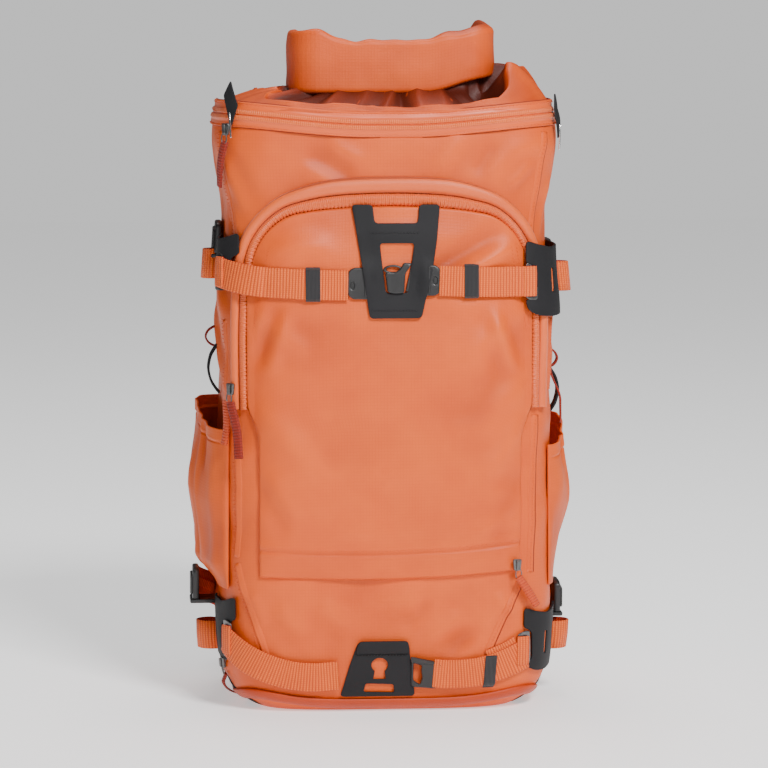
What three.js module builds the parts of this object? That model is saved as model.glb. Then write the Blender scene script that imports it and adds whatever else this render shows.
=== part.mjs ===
// A roll-top camera backpack, standing on its base. Millimetres, +Z up, its front towards -Y.
// Everything on the bag is laid out flat on its skin: s runs round the bag from the middle of the
// front, z is the height, and d is the distance out from the skin.
import * as THREE from 'three';

// Body of the bag
const bodyWidth = 296;
const frontDepth = 112;
const backDepth = 92;
const bodyHeight = 505;
const shellWall = 5;
const baseThickness = 6;

// Cloth, webbing and clearances
const cloth = 2;
const clearance = 0.6;
const webbingWidth = 25;
const webbingThickness = 1.8;
const patchThickness = 1.8;

// Rolled top
const rollWidth = 178;
const rollHeight = 44;
const rollThickness = 20;
const rollReach = 84;
const rollBendRadius = 24;
const rollFront = 56;
const rollLift = 22;
const rollCloth = 3.2;

// Zip band and arch flap
const zipBandHeight = 20;
const zipBandDrop = 19;
const zipBandProud = 3;
const archTop = 438;
const archHalfWidth = 127;
const archEnd = 257;
const archWidth = 24;
const archSideWidth = 15;
const archProud = 6;

// Front panel
const panelBottom = 113;
const panelHalfWidth = 112;
const panelDome = 8;
const panelEdge = 1.2;

// Base band
const baseBandHeight = 10;
const baseBandMiddle = 6.5;
const baseBandRise = 8;

// Tool straps and patches on the front
const upperStrapZ = 363;
const lowerStrapZ = 35;
const upperPatchTop = 423;
const upperPatchHeight = 92;
const upperPatchTopWidth = 73;
const upperPatchBottomWidth = 45;
const lowerPatchTop = 61;
const lowerPatchHeight = 47;
const lowerPatchTopWidth = 42;
const lowerPatchBottomWidth = 62;
const lowerPatchOffset = -13;
const keeperWidth = 12;
const keeperWall = 1;
const plateLength = 16;
const plateHeight = 28;
const plateThickness = 3.6;
const centreBuckleWidth = 17;
const centreBuckleHeight = 24;

// Sides
const sidePocketHeight = 150;
const sidePocketBottom = 104;
const sidePocketStart = 168;
const sidePocketEnd = 312;
const sidePocketBulge = 17;
const cornerPatchEnd = 186;
const sideStrapEnd = 306;
const buckleLength = 34;
const buckleThickness = 8;
const tailLength = 26;
const tailGap = 9;
const gearLoopHeight = 15;
const gearLoopReach = 9;
const sideHandleHeight = 36;

// Zip pulls
const tagWidth = 8;
const tagThickness = 2.4;
const sliderWidth = 7;
const sliderThickness = 3;
const leafHeight = 36;
const leafWidth = 13;

// Back and harness
const backPadWidth = 216;
const backPadBottom = 70;
const backPadHeight = 390;
const backPadThickness = 14;
const shoulderWidth = 62;
const shoulderThickness = 12;
const shoulderSpread = 62;
const shoulderTop = 452;
const shoulderPadEnd = 190;
const shoulderReach = 58;
const hipBeltHeight = 78;
const hipBeltThickness = 13;
const hipBeltZ = 96;
const hipBeltHalfWidth = 128;
const hipBeltReach = 48;
const grabHandleSpan = 92;
const grabHandleWidth = 18;
const grabHandleRise = 24;

// Sections of the body: height, half width and the two depths as shares of the body's sizes,
// and how square the section is.
const bodySections = [
  { height: 0.0, width: 0.775, front: 0.79, back: 0.86, square: 4.4 },
  { height: 0.016, width: 0.855, front: 0.865, back: 0.93, square: 4.6 },
  { height: 0.04, width: 0.915, front: 0.915, back: 0.97, square: 4.8 },
  { height: 0.09, width: 0.962, front: 0.95, back: 1.0, square: 5.0 },
  { height: 0.2, width: 0.968, front: 0.985, back: 1.0, square: 5.2 },
  { height: 0.38, width: 0.955, front: 1.0, back: 1.0, square: 5.4 },
  { height: 0.55, width: 0.952, front: 1.0, back: 1.0, square: 5.4 },
  { height: 0.66, width: 0.966, front: 0.99, back: 1.0, square: 5.4 },
  { height: 0.74, width: 0.948, front: 0.97, back: 1.0, square: 5.2 },
  { height: 0.83, width: 0.93, front: 0.945, back: 0.995, square: 5.0 },
  { height: 0.88, width: 0.955, front: 0.94, back: 0.99, square: 4.8 },
  { height: 0.93, width: 0.985, front: 0.935, back: 0.985, square: 4.8 },
  { height: 0.975, width: 1.0, front: 0.92, back: 0.98, square: 4.8 },
  { height: 1.0, width: 0.988, front: 0.905, back: 0.965, square: 4.8 },
];

// The gathered neck between the body's lip and the roll: rise as a share of the way up, width and
// depth as shares of the way in from the lip to the roll, the depth of its gathers, and how far its
// inside lies under its outside, as a share of the cloth.
const neckSections = [
  { rise: -0.55, inward: 0.0, gather: 0.0, under: 0.0 },
  { rise: 0.05, inward: 0.06, gather: 0.45, under: 0.6 },
  { rise: 0.45, inward: 0.38, gather: 1.0, under: 1.0 },
  { rise: 1.0, inward: 1.0, gather: 0.0, under: 1.2 },
];
const gatherDepth = 7;
const gatherCount = 7;

const orange = new THREE.Color(0xde855c);
const orangeWebbing = new THREE.Color(0xe79d75);
const darkRed = new THREE.Color(0x96281d);
const black = new THREE.Color(0x3c3c3e);
const metalGrey = new THREE.Color(0x9a9a9c);

const bag = new THREE.Group();

// Adds one closed piece to the bag, with its faces turned outwards.
function addPiece(name, triangles, color, roughness = 0.7, metalness = 0) {
  let volume = 0;
  const corner = new THREE.Vector3();
  for (const [p, q, r] of triangles) {
    volume += p.dot(corner.crossVectors(q, r));
  }
  const positions = [];
  for (const [p, q, r] of triangles) {
    const order = volume > 0 ? [p, q, r] : [p, r, q];
    for (const point of order) {
      positions.push(point.x, point.y, point.z);
    }
  }
  const geometry = new THREE.BufferGeometry();
  geometry.setAttribute('position', new THREE.Float32BufferAttribute(positions, 3));
  geometry.computeVertexNormals();
  const mesh = new THREE.Mesh(geometry, new THREE.MeshStandardMaterial({ color, roughness, metalness }));
  mesh.name = name;
  bag.add(mesh);
}

// Straight-line value between the rows of a table.
function between(rows, key, value, field) {
  const last = rows.length - 1;
  if (value <= rows[0][key]) {
    return rows[0][field];
  }
  for (let row = 0; row < last; row += 1) {
    const low = rows[row];
    const high = rows[row + 1];
    if (value <= high[key]) {
      const share = (value - low[key]) / (high[key] - low[key]);
      return low[field] + (high[field] - low[field]) * share;
    }
  }
  return rows[last][field];
}

function bodySection(z) {
  const height = z / bodyHeight;
  return {
    halfWidth: (bodyWidth / 2) * between(bodySections, 'height', height, 'width'),
    front: frontDepth * between(bodySections, 'height', height, 'front'),
    back: backDepth * between(bodySections, 'height', height, 'back'),
    square: between(bodySections, 'height', height, 'square'),
  };
}

// A point of a section at an angle from the middle of the front, moved out along its normal.
function sectionPoint(section, angle, z, out = 0) {
  const across = Math.sin(angle);
  const along = Math.cos(angle);
  const power = 2 / section.square;
  const depth = along > 0 ? section.front : section.back;
  const x = section.halfWidth * Math.sign(across) * Math.abs(across) ** power;
  const y = -depth * Math.sign(along) * Math.abs(along) ** power;
  const normalX = (Math.sign(x) * Math.abs(x / section.halfWidth) ** (section.square - 1)) / section.halfWidth;
  const normalY = (Math.sign(y) * Math.abs(y / depth) ** (section.square - 1)) / depth;
  const length = Math.hypot(normalX, normalY);
  return new THREE.Vector3(x + (out * normalX) / length, y + (out * normalY) / length, z);
}

// The place on the bag that is s round from the middle of the front, at height z and d out.
const quarterSteps = 30;
function onBag(s, z, d) {
  const section = bodySection(z);
  const side = Math.sign(s) || 1;
  let left = Math.abs(s);
  let angle = 0;
  let from = sectionPoint(section, angle, z);
  for (let step = 1; step <= 2 * quarterSteps; step += 1) {
    const nextAngle = (step * Math.PI) / (2 * quarterSteps);
    const to = sectionPoint(section, nextAngle, z);
    const length = from.distanceTo(to);
    if (left <= length || step === 2 * quarterSteps) {
      const share = left / length;
      const point = from.clone().lerp(to, share);
      const nearly = Math.min(Math.max(angle + (nextAngle - angle) * share, 1e-4), Math.PI - 1e-4);
      const inner = sectionPoint(section, nearly, z, 0);
      const outer = sectionPoint(section, nearly, z, 1);
      point.add(outer.sub(inner).multiplyScalar(d));
      return new THREE.Vector3(side * point.x, point.y, z);
    }
    left -= length;
    angle = nextAngle;
    from = to;
  }
  return from;
}

// Joins a row of rings of points into one body. Its ends are closed flat, or it runs round in a loop.
function loft(rings, { loop = false, profile = null } = {}) {
  const triangles = [];
  const count = rings[0].length;
  const spans = loop ? rings.length : rings.length - 1;
  for (let row = 0; row < spans; row += 1) {
    const here = rings[row];
    const next = rings[(row + 1) % rings.length];
    for (let k = 0; k < count; k += 1) {
      const after = (k + 1) % count;
      triangles.push([here[k], here[after], next[after]]);
      triangles.push([here[k], next[after], next[k]]);
    }
  }
  if (loop) {
    return triangles;
  }
  const first = rings[0];
  const end = rings[rings.length - 1];
  if (profile) {
    for (const [p, q, r] of THREE.ShapeUtils.triangulateShape(profile, [])) {
      triangles.push([first[p], first[r], first[q]]);
      triangles.push([end[p], end[q], end[r]]);
    }
    return orient(triangles, first, profile);
  }
  const firstMiddle = middleOf(first);
  const endMiddle = middleOf(end);
  for (let k = 0; k < count; k += 1) {
    const after = (k + 1) % count;
    triangles.push([firstMiddle, first[after], first[k]]);
    triangles.push([endMiddle, end[k], end[after]]);
  }
  return triangles;
}

function middleOf(points) {
  const middle = new THREE.Vector3();
  for (const point of points) {
    middle.add(point);
  }
  return middle.divideScalar(points.length);
}

// Turns the flat ends of a loft to agree with its sides, whichever way its profile runs.
function orient(triangles, first, profile) {
  if (!THREE.ShapeUtils.isClockWise(profile)) {
    return triangles;
  }
  const sides = triangles.length - 2 * (profile.length - 2);
  return triangles.map((triangle, index) => {
    const [p, q, r] = triangle;
    return index < sides ? triangle : [p, r, q];
  });
}

// A strip laid on the bag along a path of s and z, with a flat profile of across and height.
function ribbon(path, profileAt, { lift = () => clearance, loop = false } = {}) {
  const rings = path.map((point, index) => {
    const before = path[Math.max(index - 1, 0)];
    const after = path[Math.min(index + 1, path.length - 1)];
    const run = loop ? [1, 0] : [after[0] - before[0], after[1] - before[1]];
    const length = Math.hypot(run[0], run[1]);
    const acrossS = run[1] / length;
    const acrossZ = -run[0] / length;
    return profileAt(index / (path.length - 1)).map(([across, height]) => {
      const s = point[0] + acrossS * across;
      const z = point[1] + acrossZ * across;
      return onBag(s, z, height + lift(s, z));
    });
  });
  const profile = profileAt(0).map(([across, height]) => new THREE.Vector2(across, height));
  return loft(rings, { loop, profile });
}

function flatProfile(width, thickness) {
  return [[-width / 2, 0], [width / 2, 0], [width / 2, thickness], [-width / 2, thickness]];
}

// Even steps from one point of s and z to another.
function line(from, to, step) {
  const count = Math.max(2, Math.ceil(Math.hypot(to[0] - from[0], to[1] - from[1]) / step));
  const points = [];
  for (let k = 0; k <= count; k += 1) {
    points.push([from[0] + ((to[0] - from[0]) * k) / count, from[1] + ((to[1] - from[1]) * k) / count]);
  }
  return points;
}

// A smooth line through a few points of s and z.
function smooth(points, count) {
  const curve = new THREE.SplineCurve(points.map(([s, z]) => new THREE.Vector2(s, z)));
  return curve.getSpacedPoints(count).map((point) => [point.x, point.y]);
}

// An outline with its corners rounded.
function rounded(points, radius, steps = 3) {
  const outline = [];
  points.forEach(([s, z], index) => {
    const corner = new THREE.Vector2(s, z);
    const before = new THREE.Vector2(...points[(index + points.length - 1) % points.length]);
    const after = new THREE.Vector2(...points[(index + 1) % points.length]);
    const cut = Math.min(radius, corner.distanceTo(before) / 2.2, corner.distanceTo(after) / 2.2);
    const start = corner.clone().add(before.sub(corner).setLength(cut));
    const end = corner.clone().add(after.sub(corner).setLength(cut));
    const bend = new THREE.QuadraticBezierCurve(start, corner, end);
    for (const point of bend.getPoints(steps)) {
      outline.push([point.x, point.y]);
    }
  });
  return outline;
}

function rectangle(left, right, bottom, top) {
  return [[left, bottom], [right, bottom], [right, top], [left, top]];
}

function splitPolygon(polygon, axis, at) {
  const below = [];
  const above = [];
  polygon.forEach((point, index) => {
    const next = polygon[(index + 1) % polygon.length];
    if (point[axis] <= at) {
      below.push(point);
    }
    if (point[axis] >= at) {
      above.push(point);
    }
    if ((point[axis] - at) * (next[axis] - at) < 0) {
      const share = (at - point[axis]) / (next[axis] - point[axis]);
      const other = 1 - axis;
      const cut = [0, 0];
      cut[axis] = at;
      cut[other] = point[other] + (next[other] - point[other]) * share;
      below.push(cut);
      above.push(cut);
    }
  });
  return [below, above];
}

// Cuts flat polygons along even lines, so that they can follow a bent surface.
function slice(polygons, axis, step) {
  const pieces = [];
  for (const polygon of polygons) {
    const values = polygon.map((point) => point[axis]);
    const high = Math.max(...values) - 1e-6;
    let rest = polygon;
    let at = (Math.floor(Math.min(...values) / step) + 1) * step;
    while (at < high) {
      const [below, above] = splitPolygon(rest, axis, at);
      if (below.length > 2) {
        pieces.push(below);
      }
      rest = above;
      at += step;
    }
    if (rest.length > 2) {
      pieces.push(rest);
    }
  }
  return pieces;
}

// A sheet laid on the bag: an outline of s and z, holes, and its height and thickness at each place.
function plate(outline, { holes = [], lift = () => clearance, thickness = () => cloth, stepS = 16, stepZ = 24, place = onBag } = {}) {
  const contour = outline.map((point) => new THREE.Vector2(...point));
  const gaps = holes.map((hole) => hole.map((point) => new THREE.Vector2(...point)));
  const flat = [...outline, ...holes.flat()];
  const faces = THREE.ShapeUtils.triangulateShape(contour, gaps).map((face) => face.map((index) => flat[index]));
  const polygons = slice(slice(faces, 0, stepS), 1, stepZ);
  const triangles = [];
  const edges = new Map();
  const key = ([s, z]) => `${s.toFixed(4)},${z.toFixed(4)}`;
  const under = ([s, z]) => place(s, z, lift(s, z));
  const over = ([s, z]) => place(s, z, lift(s, z) + thickness(s, z));
  for (const polygon of polygons) {
    for (let k = 1; k < polygon.length - 1; k += 1) {
      const face = [polygon[0], polygon[k], polygon[k + 1]];
      const area = (face[1][0] - face[0][0]) * (face[2][1] - face[0][1])
        - (face[1][1] - face[0][1]) * (face[2][0] - face[0][0]);
      if (Math.abs(area) > 1e-7) {
        const turned = area > 0 ? face : [face[0], face[2], face[1]];
        triangles.push(turned.map(over));
        triangles.push([turned[0], turned[2], turned[1]].map(under));
        turned.forEach((point, index) => {
          const next = turned[(index + 1) % 3];
          const back = `${key(next)}|${key(point)}`;
          if (edges.has(back)) {
            edges.delete(back);
          } else {
            edges.set(`${key(point)}|${key(next)}`, [point, next]);
          }
        });
      }
    }
  }
  for (const [point, next] of edges.values()) {
    triangles.push([over(point), under(point), under(next)]);
    triangles.push([over(point), under(next), over(next)]);
  }
  return triangles;
}

// A flat strap in the air: its middle line, a direction across it, and its profile.
function sweep(points, across, profileAt, steps) {
  const curve = new THREE.CatmullRomCurve3(points.map((point) => new THREE.Vector3(...point)), false, 'centripetal');
  const side = new THREE.Vector3(...across);
  const rings = [];
  for (let step = 0; step <= steps; step += 1) {
    const share = step / steps;
    const middle = curve.getPointAt(share);
    const forward = curve.getTangentAt(share);
    const right = side.clone().addScaledVector(forward, -side.dot(forward)).normalize();
    const out = new THREE.Vector3().crossVectors(right, forward).normalize();
    rings.push(profileAt(share).map(([w, h]) => middle.clone().addScaledVector(right, w).addScaledVector(out, h)));
  }
  const profile = profileAt(0).map(([w, h]) => new THREE.Vector2(w, h));
  return loft(rings, { profile });
}

function padProfile(width, thickness) {
  const w = width / 2;
  const h = thickness / 2;
  return [[-w, -h * 0.5], [-w * 0.88, -h], [w * 0.88, -h], [w, -h * 0.5], [w, h * 0.5], [w * 0.88, h], [-w * 0.88, h], [-w, h * 0.5]];
}

// Eases from 0 to 1 as a value passes from one limit to another.
function ease(value, from, to) {
  return THREE.MathUtils.smoothstep(value, from, to);
}

// Height of the front panel's outside above the skin.
function panelOutside(s, z) {
  const across = Math.min(Math.abs(s) / panelHalfWidth, 1);
  const middle = (archTop + panelBottom) / 2;
  const up = Math.min(Math.abs(z - middle) / (archTop - middle), 1);
  return clearance + cloth + panelEdge + panelDome * (1 - across ** 4) * (1 - up ** 4);
}

// Height at which straps and patches lie across the front and round its corners.
const cornerTable = [
  { s: 0.0, d: 0 },
  { s: 0.7, d: 0 },
  { s: 0.84, d: 1 },
  { s: 1.1, d: 1 },
  { s: 1.42, d: 0 },
];
const panelRimTable = [
  { s: 0.9, d: 0 },
  { s: 1.0, d: 1 },
];
function strapHeight(s, z) {
  const onPanel = z > panelBottom ? panelOutside(s, z) : 0;
  const share = Math.abs(s) / archHalfWidth;
  const overFlap = (archProud + 2 * clearance) * between(cornerTable, 's', share, 'd');
  const panelShare = 1 - between(panelRimTable, 's', share, 'd');
  return Math.max(onPanel * panelShare, overFlap);
}

function makeShell() {
  const turns = 44;
  const rings = [];
  const ringAt = (z, out) => {
    const section = bodySection(z);
    const ring = [];
    for (let k = 0; k < turns; k += 1) {
      const point = sectionPoint(section, (2 * Math.PI * (k + 0.5)) / turns, z, out);
      ring.push(point);
    }
    return ring;
  };
  for (const row of bodySections) {
    rings.push(ringAt(row.height * bodyHeight, 0));
  }
  const insideRows = bodySections.filter((row, index) => index > 1 && index % 3 === 1);
  for (const row of insideRows.reverse()) {
    rings.push(ringAt(row.height * bodyHeight, -shellWall));
  }
  const floorRing = ringAt(0.016 * bodyHeight, -shellWall);
  rings.push(floorRing.map((point) => new THREE.Vector3(point.x, point.y, baseThickness)));
  addPiece('main_shell', loft(rings), orange, 0.62);
}

// The roll's middle line seen from above: across the front, with both ends turned back.
function rollPath() {
  const half = rollWidth / 2 - rollThickness / 2;
  const front = -rollFront + rollThickness / 2;
  const points = [];
  for (let k = 0; k <= 2; k += 1) {
    points.push([-half, front + rollBendRadius + ((rollReach - rollBendRadius) * (2 - k)) / 2]);
  }
  const turnSteps = 3;
  for (let k = 1; k <= turnSteps; k += 1) {
    const angle = (k * Math.PI) / (2 * turnSteps);
    points.push([-half + rollBendRadius * (1 - Math.cos(angle)), front + rollBendRadius * (1 - Math.sin(angle))]);
  }
  const left = points.slice();
  const right = left.map(([x, y]) => [-x, y]).reverse();
  return [...left, [0, front], ...right];
}

// A flattened spiral: the cloth's outside, then back along its inside.
function rollProfile() {
  const steps = 15;
  const turns = 1.6;
  const outside = [];
  const inside = [];
  for (let k = 0; k <= steps; k += 1) {
    const share = k / steps;
    const angle = -Math.PI * 0.5 + share * turns * 2 * Math.PI;
    const shrink = share * turns * (rollCloth + 1.1);
    const half = rollHeight / 2 - shrink;
    const deep = rollThickness / 2 - shrink;
    const bulge = 0.5;
    const c = Math.sign(Math.cos(angle)) * Math.abs(Math.cos(angle)) ** bulge;
    const t = Math.sign(Math.sin(angle)) * Math.abs(Math.sin(angle)) ** (bulge + 0.3);
    outside.push([c * deep, t * half]);
    inside.push([c * Math.max(deep - rollCloth, 0.3), t * (half - rollCloth)]);
  }
  return [...outside, ...inside.reverse()];
}

const rollBottom = bodyHeight + rollLift;

function makeRoll() {
  const path = rollPath();
  const profile = rollProfile();
  const middleZ = rollBottom + rollHeight / 2;
  const rings = path.map(([x, y], index) => {
    const before = path[Math.max(index - 1, 0)];
    const after = path[Math.min(index + 1, path.length - 1)];
    const run = new THREE.Vector2(after[0] - before[0], after[1] - before[1]).normalize();
    const endShare = Math.abs(2 * (index / (path.length - 1)) - 1) ** 3;
    return profile.map(([out, up]) => new THREE.Vector3(x + run.y * out, y - run.x * out, middleZ + up + endShare * 6));
  });
  const flat = profile.map(([out, up]) => new THREE.Vector2(out, up));
  addPiece('roll_collar', loft(rings, { profile: flat }), orange, 0.62);
}

// The neck's wall follows spokes that run out from the middle line of the bag or of the roll.
function makeNeck() {
  const turns = 42;
  const lip = bodySection(bodyHeight);
  const inset = shellWall + clearance + 1;
  const lipMiddle = (lip.back - lip.front) / 2;
  const ringAt = (row, wall) => {
    const height = bodyHeight + row.rise * (rollBottom - bodyHeight + clearance * 0.4);
    const ring = [];
    for (let k = 0; k < turns; k += 1) {
      const angle = (2 * Math.PI * (k + 0.5)) / turns;
      const foot = rollFoot(angle);
      const point = sectionPoint(lip, angle, 0, -inset).lerp(foot.point, row.inward);
      const middle = THREE.MathUtils.lerp(lipMiddle, foot.middle, row.inward);
      const spoke = new THREE.Vector3(point.x * 0.3, point.y - middle, 0).normalize();
      const fold = gatherDepth * row.gather * (0.5 - 0.5 * Math.sin(angle * gatherCount));
      const inward = wall * (1 - 0.6 * row.under);
      ring.push(point.addScaledVector(spoke, -fold - inward).setZ(height - wall * row.under));
    }
    return ring;
  };
  const outside = neckSections.map((row) => ringAt(row, 0));
  const inside = neckSections.map((row) => ringAt(row, cloth)).reverse();
  addPiece('neck_gather', loft([...outside, ...inside], { loop: true }), orange, 0.66);
}

// Where the neck meets the roll: a narrow loop as wide as the roll, which bends back with its ends.
function rollFoot(angle) {
  const x = (rollWidth / 2 - rollThickness * 0.35) * Math.sin(angle);
  const half = Math.sign(Math.cos(angle)) * Math.sqrt(Math.abs(Math.cos(angle))) * rollThickness * 0.25;
  const intoBend = Math.max(0, Math.abs(x) - (rollWidth / 2 - rollThickness / 2 - rollBendRadius));
  const back = rollBendRadius - Math.sqrt(Math.max(rollBendRadius ** 2 - intoBend ** 2, 0));
  const middle = -rollFront + rollThickness / 2 + Math.min(back, rollBendRadius * 0.6);
  return { point: new THREE.Vector3(x, middle - half, 0), middle };
}

function makeZipBand() {
  const span = 210;
  const path = line([-span, 0], [span, 0], 13).map(([s]) => {
    const rise = 4 * ease(Math.abs(s), 60, 150);
    return [s, bodyHeight - zipBandDrop + zipBandHeight / 2 + rise - 4];
  });
  const half = zipBandHeight / 2;
  const profile = [[-half, 0.2], [0, 1], [half, 0.2], [half, 1.4], [half * 0.4, zipBandProud], [0, zipBandProud * 0.6], [-half * 0.4, zipBandProud], [-half, 1.4]];
  addPiece('top_zip_band', ribbon(path, () => profile), orange, 0.6);
}

const archPoints = [
  { s: 0.0, z: 1.0 },
  { s: 0.32, z: 0.992 },
  { s: 0.54, z: 0.967 },
  { s: 0.71, z: 0.925 },
  { s: 0.85, z: 0.838 },
  { s: 0.94, z: 0.722 },
  { s: 0.985, z: 0.56 },
  { s: 1.0, z: 0.36 },
  { s: 1.0, z: 0.18 },
  { s: 0.995, z: 0.0 },
];

function archLine(count) {
  const half = archPoints.map(({ s, z }) => [s * archHalfWidth, archEnd + z * (archTop - archEnd)]);
  const whole = [...half.slice(1).reverse().map(([s, z]) => [-s, z]), ...half];
  return smooth(whole, count);
}

function archWidthAt(s) {
  return archSideWidth + (archWidth - archSideWidth) * (1 - ease(Math.abs(s), archHalfWidth * 0.3, archHalfWidth * 0.92));
}

function makeArch() {
  const path = archLine(38);
  const profileAt = (share) => {
    const s = path[Math.round(share * (path.length - 1))][0];
    const half = archWidthAt(s) / 2;
    return [
      [-half, 0], [0, 0], [half, 0], [half * 0.8, archProud * 0.8], [half * 0.35, archProud * 0.85],
      [half * 0.1, archProud * 0.55], [-half * 0.4, archProud], [-half * 0.85, archProud * 0.7],
    ];
  };
  addPiece('arch_flap', ribbon(path, profileAt), orange, 0.62);
}

// The inner edge of the arch, which the front panel stops at.
function archInside(count, gap) {
  const path = archLine(count);
  return path.map((point, index) => {
    const before = path[Math.max(index - 1, 0)];
    const after = path[Math.min(index + 1, path.length - 1)];
    const run = new THREE.Vector2(after[0] - before[0], after[1] - before[1]).normalize();
    const half = archWidthAt(point[0]) / 2 + gap;
    return [point[0] + run.y * half, point[1] - run.x * half];
  });
}

function makePanel() {
  const top = archInside(18, clearance + 0.4);
  const low = rounded([[panelHalfWidth * 0.97, archEnd], [panelHalfWidth * 0.97, panelBottom], [-panelHalfWidth * 0.97, panelBottom], [-panelHalfWidth * 0.97, archEnd]], 12)
    .filter(([, z]) => z < archEnd - 20);
  const outline = [...top, ...low];
  addPiece('front_panel', plate(outline, {
    lift: (s, z) => panelOutside(s, z) - cloth,
    stepS: 37.4,
    stepZ: 54,
  }), orange, 0.62);
}

function makeBaseBand() {
  const turns = 40;
  const half = baseBandHeight / 2;
  const profile = [[0, half], [0, 0], [0, -half], [2.6, -half * 0.7], [2.6, half * 0.7]];
  const rings = [];
  for (let k = 0; k < turns; k += 1) {
    const angle = (2 * Math.PI * (k + 0.5)) / turns;
    const corner = Math.sin(2 * angle) ** 2;
    const middle = baseBandMiddle + baseBandRise * corner;
    rings.push(profile.map(([out, up]) => sectionPoint(bodySection(middle + up), angle, middle + up, 2.6 * clearance + out)));
  }
  addPiece('base_band', loft(rings, { loop: true }), orange, 0.62);
}

// Tool patches, buckle plates, keepers and straps across the front.
function makeUpperPatch() {
  const top = upperPatchTop;
  const low = upperPatchTop - upperPatchHeight;
  const wide = upperPatchTopWidth / 2;
  const narrow = upperPatchBottomWidth / 2;
  const leg = wide * 0.5;
  const bar = top - upperPatchHeight * 0.165;
  const outline = rounded([
    [-wide, top], [-narrow, low], [narrow, low], [wide, top], [leg, top], [leg * 0.86, bar], [-leg * 0.86, bar], [-leg, top],
  ], 4, 1);
  const windowTop = top - upperPatchHeight * 0.34;
  const windowLow = top - upperPatchHeight * 0.8;
  const hole = rounded([[-wide * 0.4, windowTop], [wide * 0.4, windowTop], [narrow * 0.46, windowLow], [-narrow * 0.46, windowLow]], 3, 2);
  addPiece('tool_patch_upper', plate(outline, {
    holes: [hole], lift: (s, z) => panelOutside(s, z) + clearance, thickness: () => patchThickness, stepS: 40, stepZ: 46,
  }), black, 0.55);
}

function makeLowerPatch() {
  const middle = lowerPatchOffset;
  const top = lowerPatchTop;
  const low = top - lowerPatchHeight;
  const outline = rounded([
    [middle - lowerPatchBottomWidth / 2, low], [middle + lowerPatchBottomWidth / 2, low],
    [middle + lowerPatchTopWidth / 2, top], [middle - lowerPatchTopWidth / 2, top],
  ], 5, 2);
  const slot = (from, to, width) => rounded([
    [middle - width / 2, top - lowerPatchHeight * to], [middle + width / 2, top - lowerPatchHeight * to],
    [middle + width / 2.4, top - lowerPatchHeight * from], [middle - width / 2.4, top - lowerPatchHeight * from],
  ], 3, 1);
  addPiece('tool_patch_lower', plate(outline, {
    holes: [slot(0.4, 0.64, 19), slot(0.72, 0.92, 29)], lift: () => clearance + 0.6, thickness: () => patchThickness, stepS: 40, stepZ: 30.5,
  }), black, 0.55);
}

const upperStart = upperPatchTopWidth / 2 + 5 + clearance;
const frontStraps = [
  { name: 'upper_left', route: [[-upperStart, upperStrapZ], [-80, upperStrapZ], [-108, upperStrapZ + 1], [-143, upperStrapZ + 13]], keeper: -64 },
  { name: 'upper_right', route: [[upperStart, upperStrapZ], [78, upperStrapZ], [114, upperStrapZ]], keeper: 64 },
  { name: 'lower_left', route: [[-47, lowerStrapZ - 2], [-88, lowerStrapZ + 1], [-116, lowerStrapZ + 13], [-142, lowerStrapZ + 31]] },
  { name: 'lower_right', route: [[40 + clearance, lowerStrapZ - 1], [86, lowerStrapZ - 1], [100, lowerStrapZ + 3], [110, lowerStrapZ + 13]], keeper: 70 },
];

function strapLift(s, z) {
  const onPanel = z > panelBottom ? strapHeight(s, z) : 1.4 * (1 - ease(Math.abs(s), 95, 112)) + 1.6 * ease(Math.abs(s), 95, 112);
  return onPanel + clearance * 2 + keeperWall;
}

function makeFrontStraps() {
  for (const strap of frontStraps) {
    const path = smooth(strap.route, Math.ceil(Math.abs(strap.route.at(-1)[0] - strap.route[0][0]) / 8));
    addPiece(`front_strap_${strap.name}`, ribbon(path, () => flatProfile(webbingWidth, webbingThickness), { lift: strapLift }), orangeWebbing, 0.75);
    if (strap.keeper) {
      makeKeeper(strap);
    }
  }
}

// An elastic sleeve round a strap: a square loop of cloth that the strap runs through.
function makeKeeper(strap) {
  const middleZ = strap.route[0][1];
  const half = webbingWidth / 2 + clearance;
  const low = -clearance;
  const high = webbingThickness + clearance;
  const inner = [[-half, low], [half, low], [half, high], [-half, high]];
  const outer = inner.map(([across, height]) => [
    across + Math.sign(across) * keeperWall,
    height + Math.sign(height) * keeperWall,
  ]);
  const at = ([across, height], end) => {
    const s = strap.keeper + (end * keeperWidth) / 2;
    const z = middleZ + across;
    return onBag(s, z, height + strapLift(s, z));
  };
  const rings = outer.map((corner, c) => [at(corner, -1), at(corner, 1), at(inner[c], 1), at(inner[c], -1)]);
  addPiece(`strap_keeper_${strap.name}`, loft(rings, { loop: true }), black, 0.85);
}

function makeBucklePlates() {
  const gap = clearance + 0.2;
  const plates = [
    { name: 'upper_left', from: -upperPatchTopWidth / 2 - 5, z: upperStrapZ, toward: 1 },
    { name: 'upper_right', from: upperPatchTopWidth / 2 + 5, z: upperStrapZ, toward: -1 },
    { name: 'lower_right', from: 40, z: lowerStrapZ - 1, toward: -1 },
  ];
  for (const row of plates) {
    const outline = rounded(rectangle(
      Math.min(row.from, row.from + row.toward * plateLength), Math.max(row.from, row.from + row.toward * plateLength),
      row.z - plateHeight / 2, row.z + plateHeight / 2,
    ), 5, 2);
    const middle = row.from + (row.toward * plateLength) / 2;
    const hole = rounded(rectangle(middle - 2.2, middle + 2.2, row.z - 5, row.z + 5), 2, 1);
    const onPanel = row.z > panelBottom;
    addPiece(`buckle_plate_${row.name}`, plate(outline, {
      holes: [hole],
      lift: (s, z) => (onPanel ? panelOutside(s, z) : 1.4 + patchThickness) + clearance + gap + (onPanel ? patchThickness : 0),
      thickness: () => plateThickness,
      stepS: 20,
      stepZ: 30,
    }), black, 0.4);
  }
}

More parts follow.
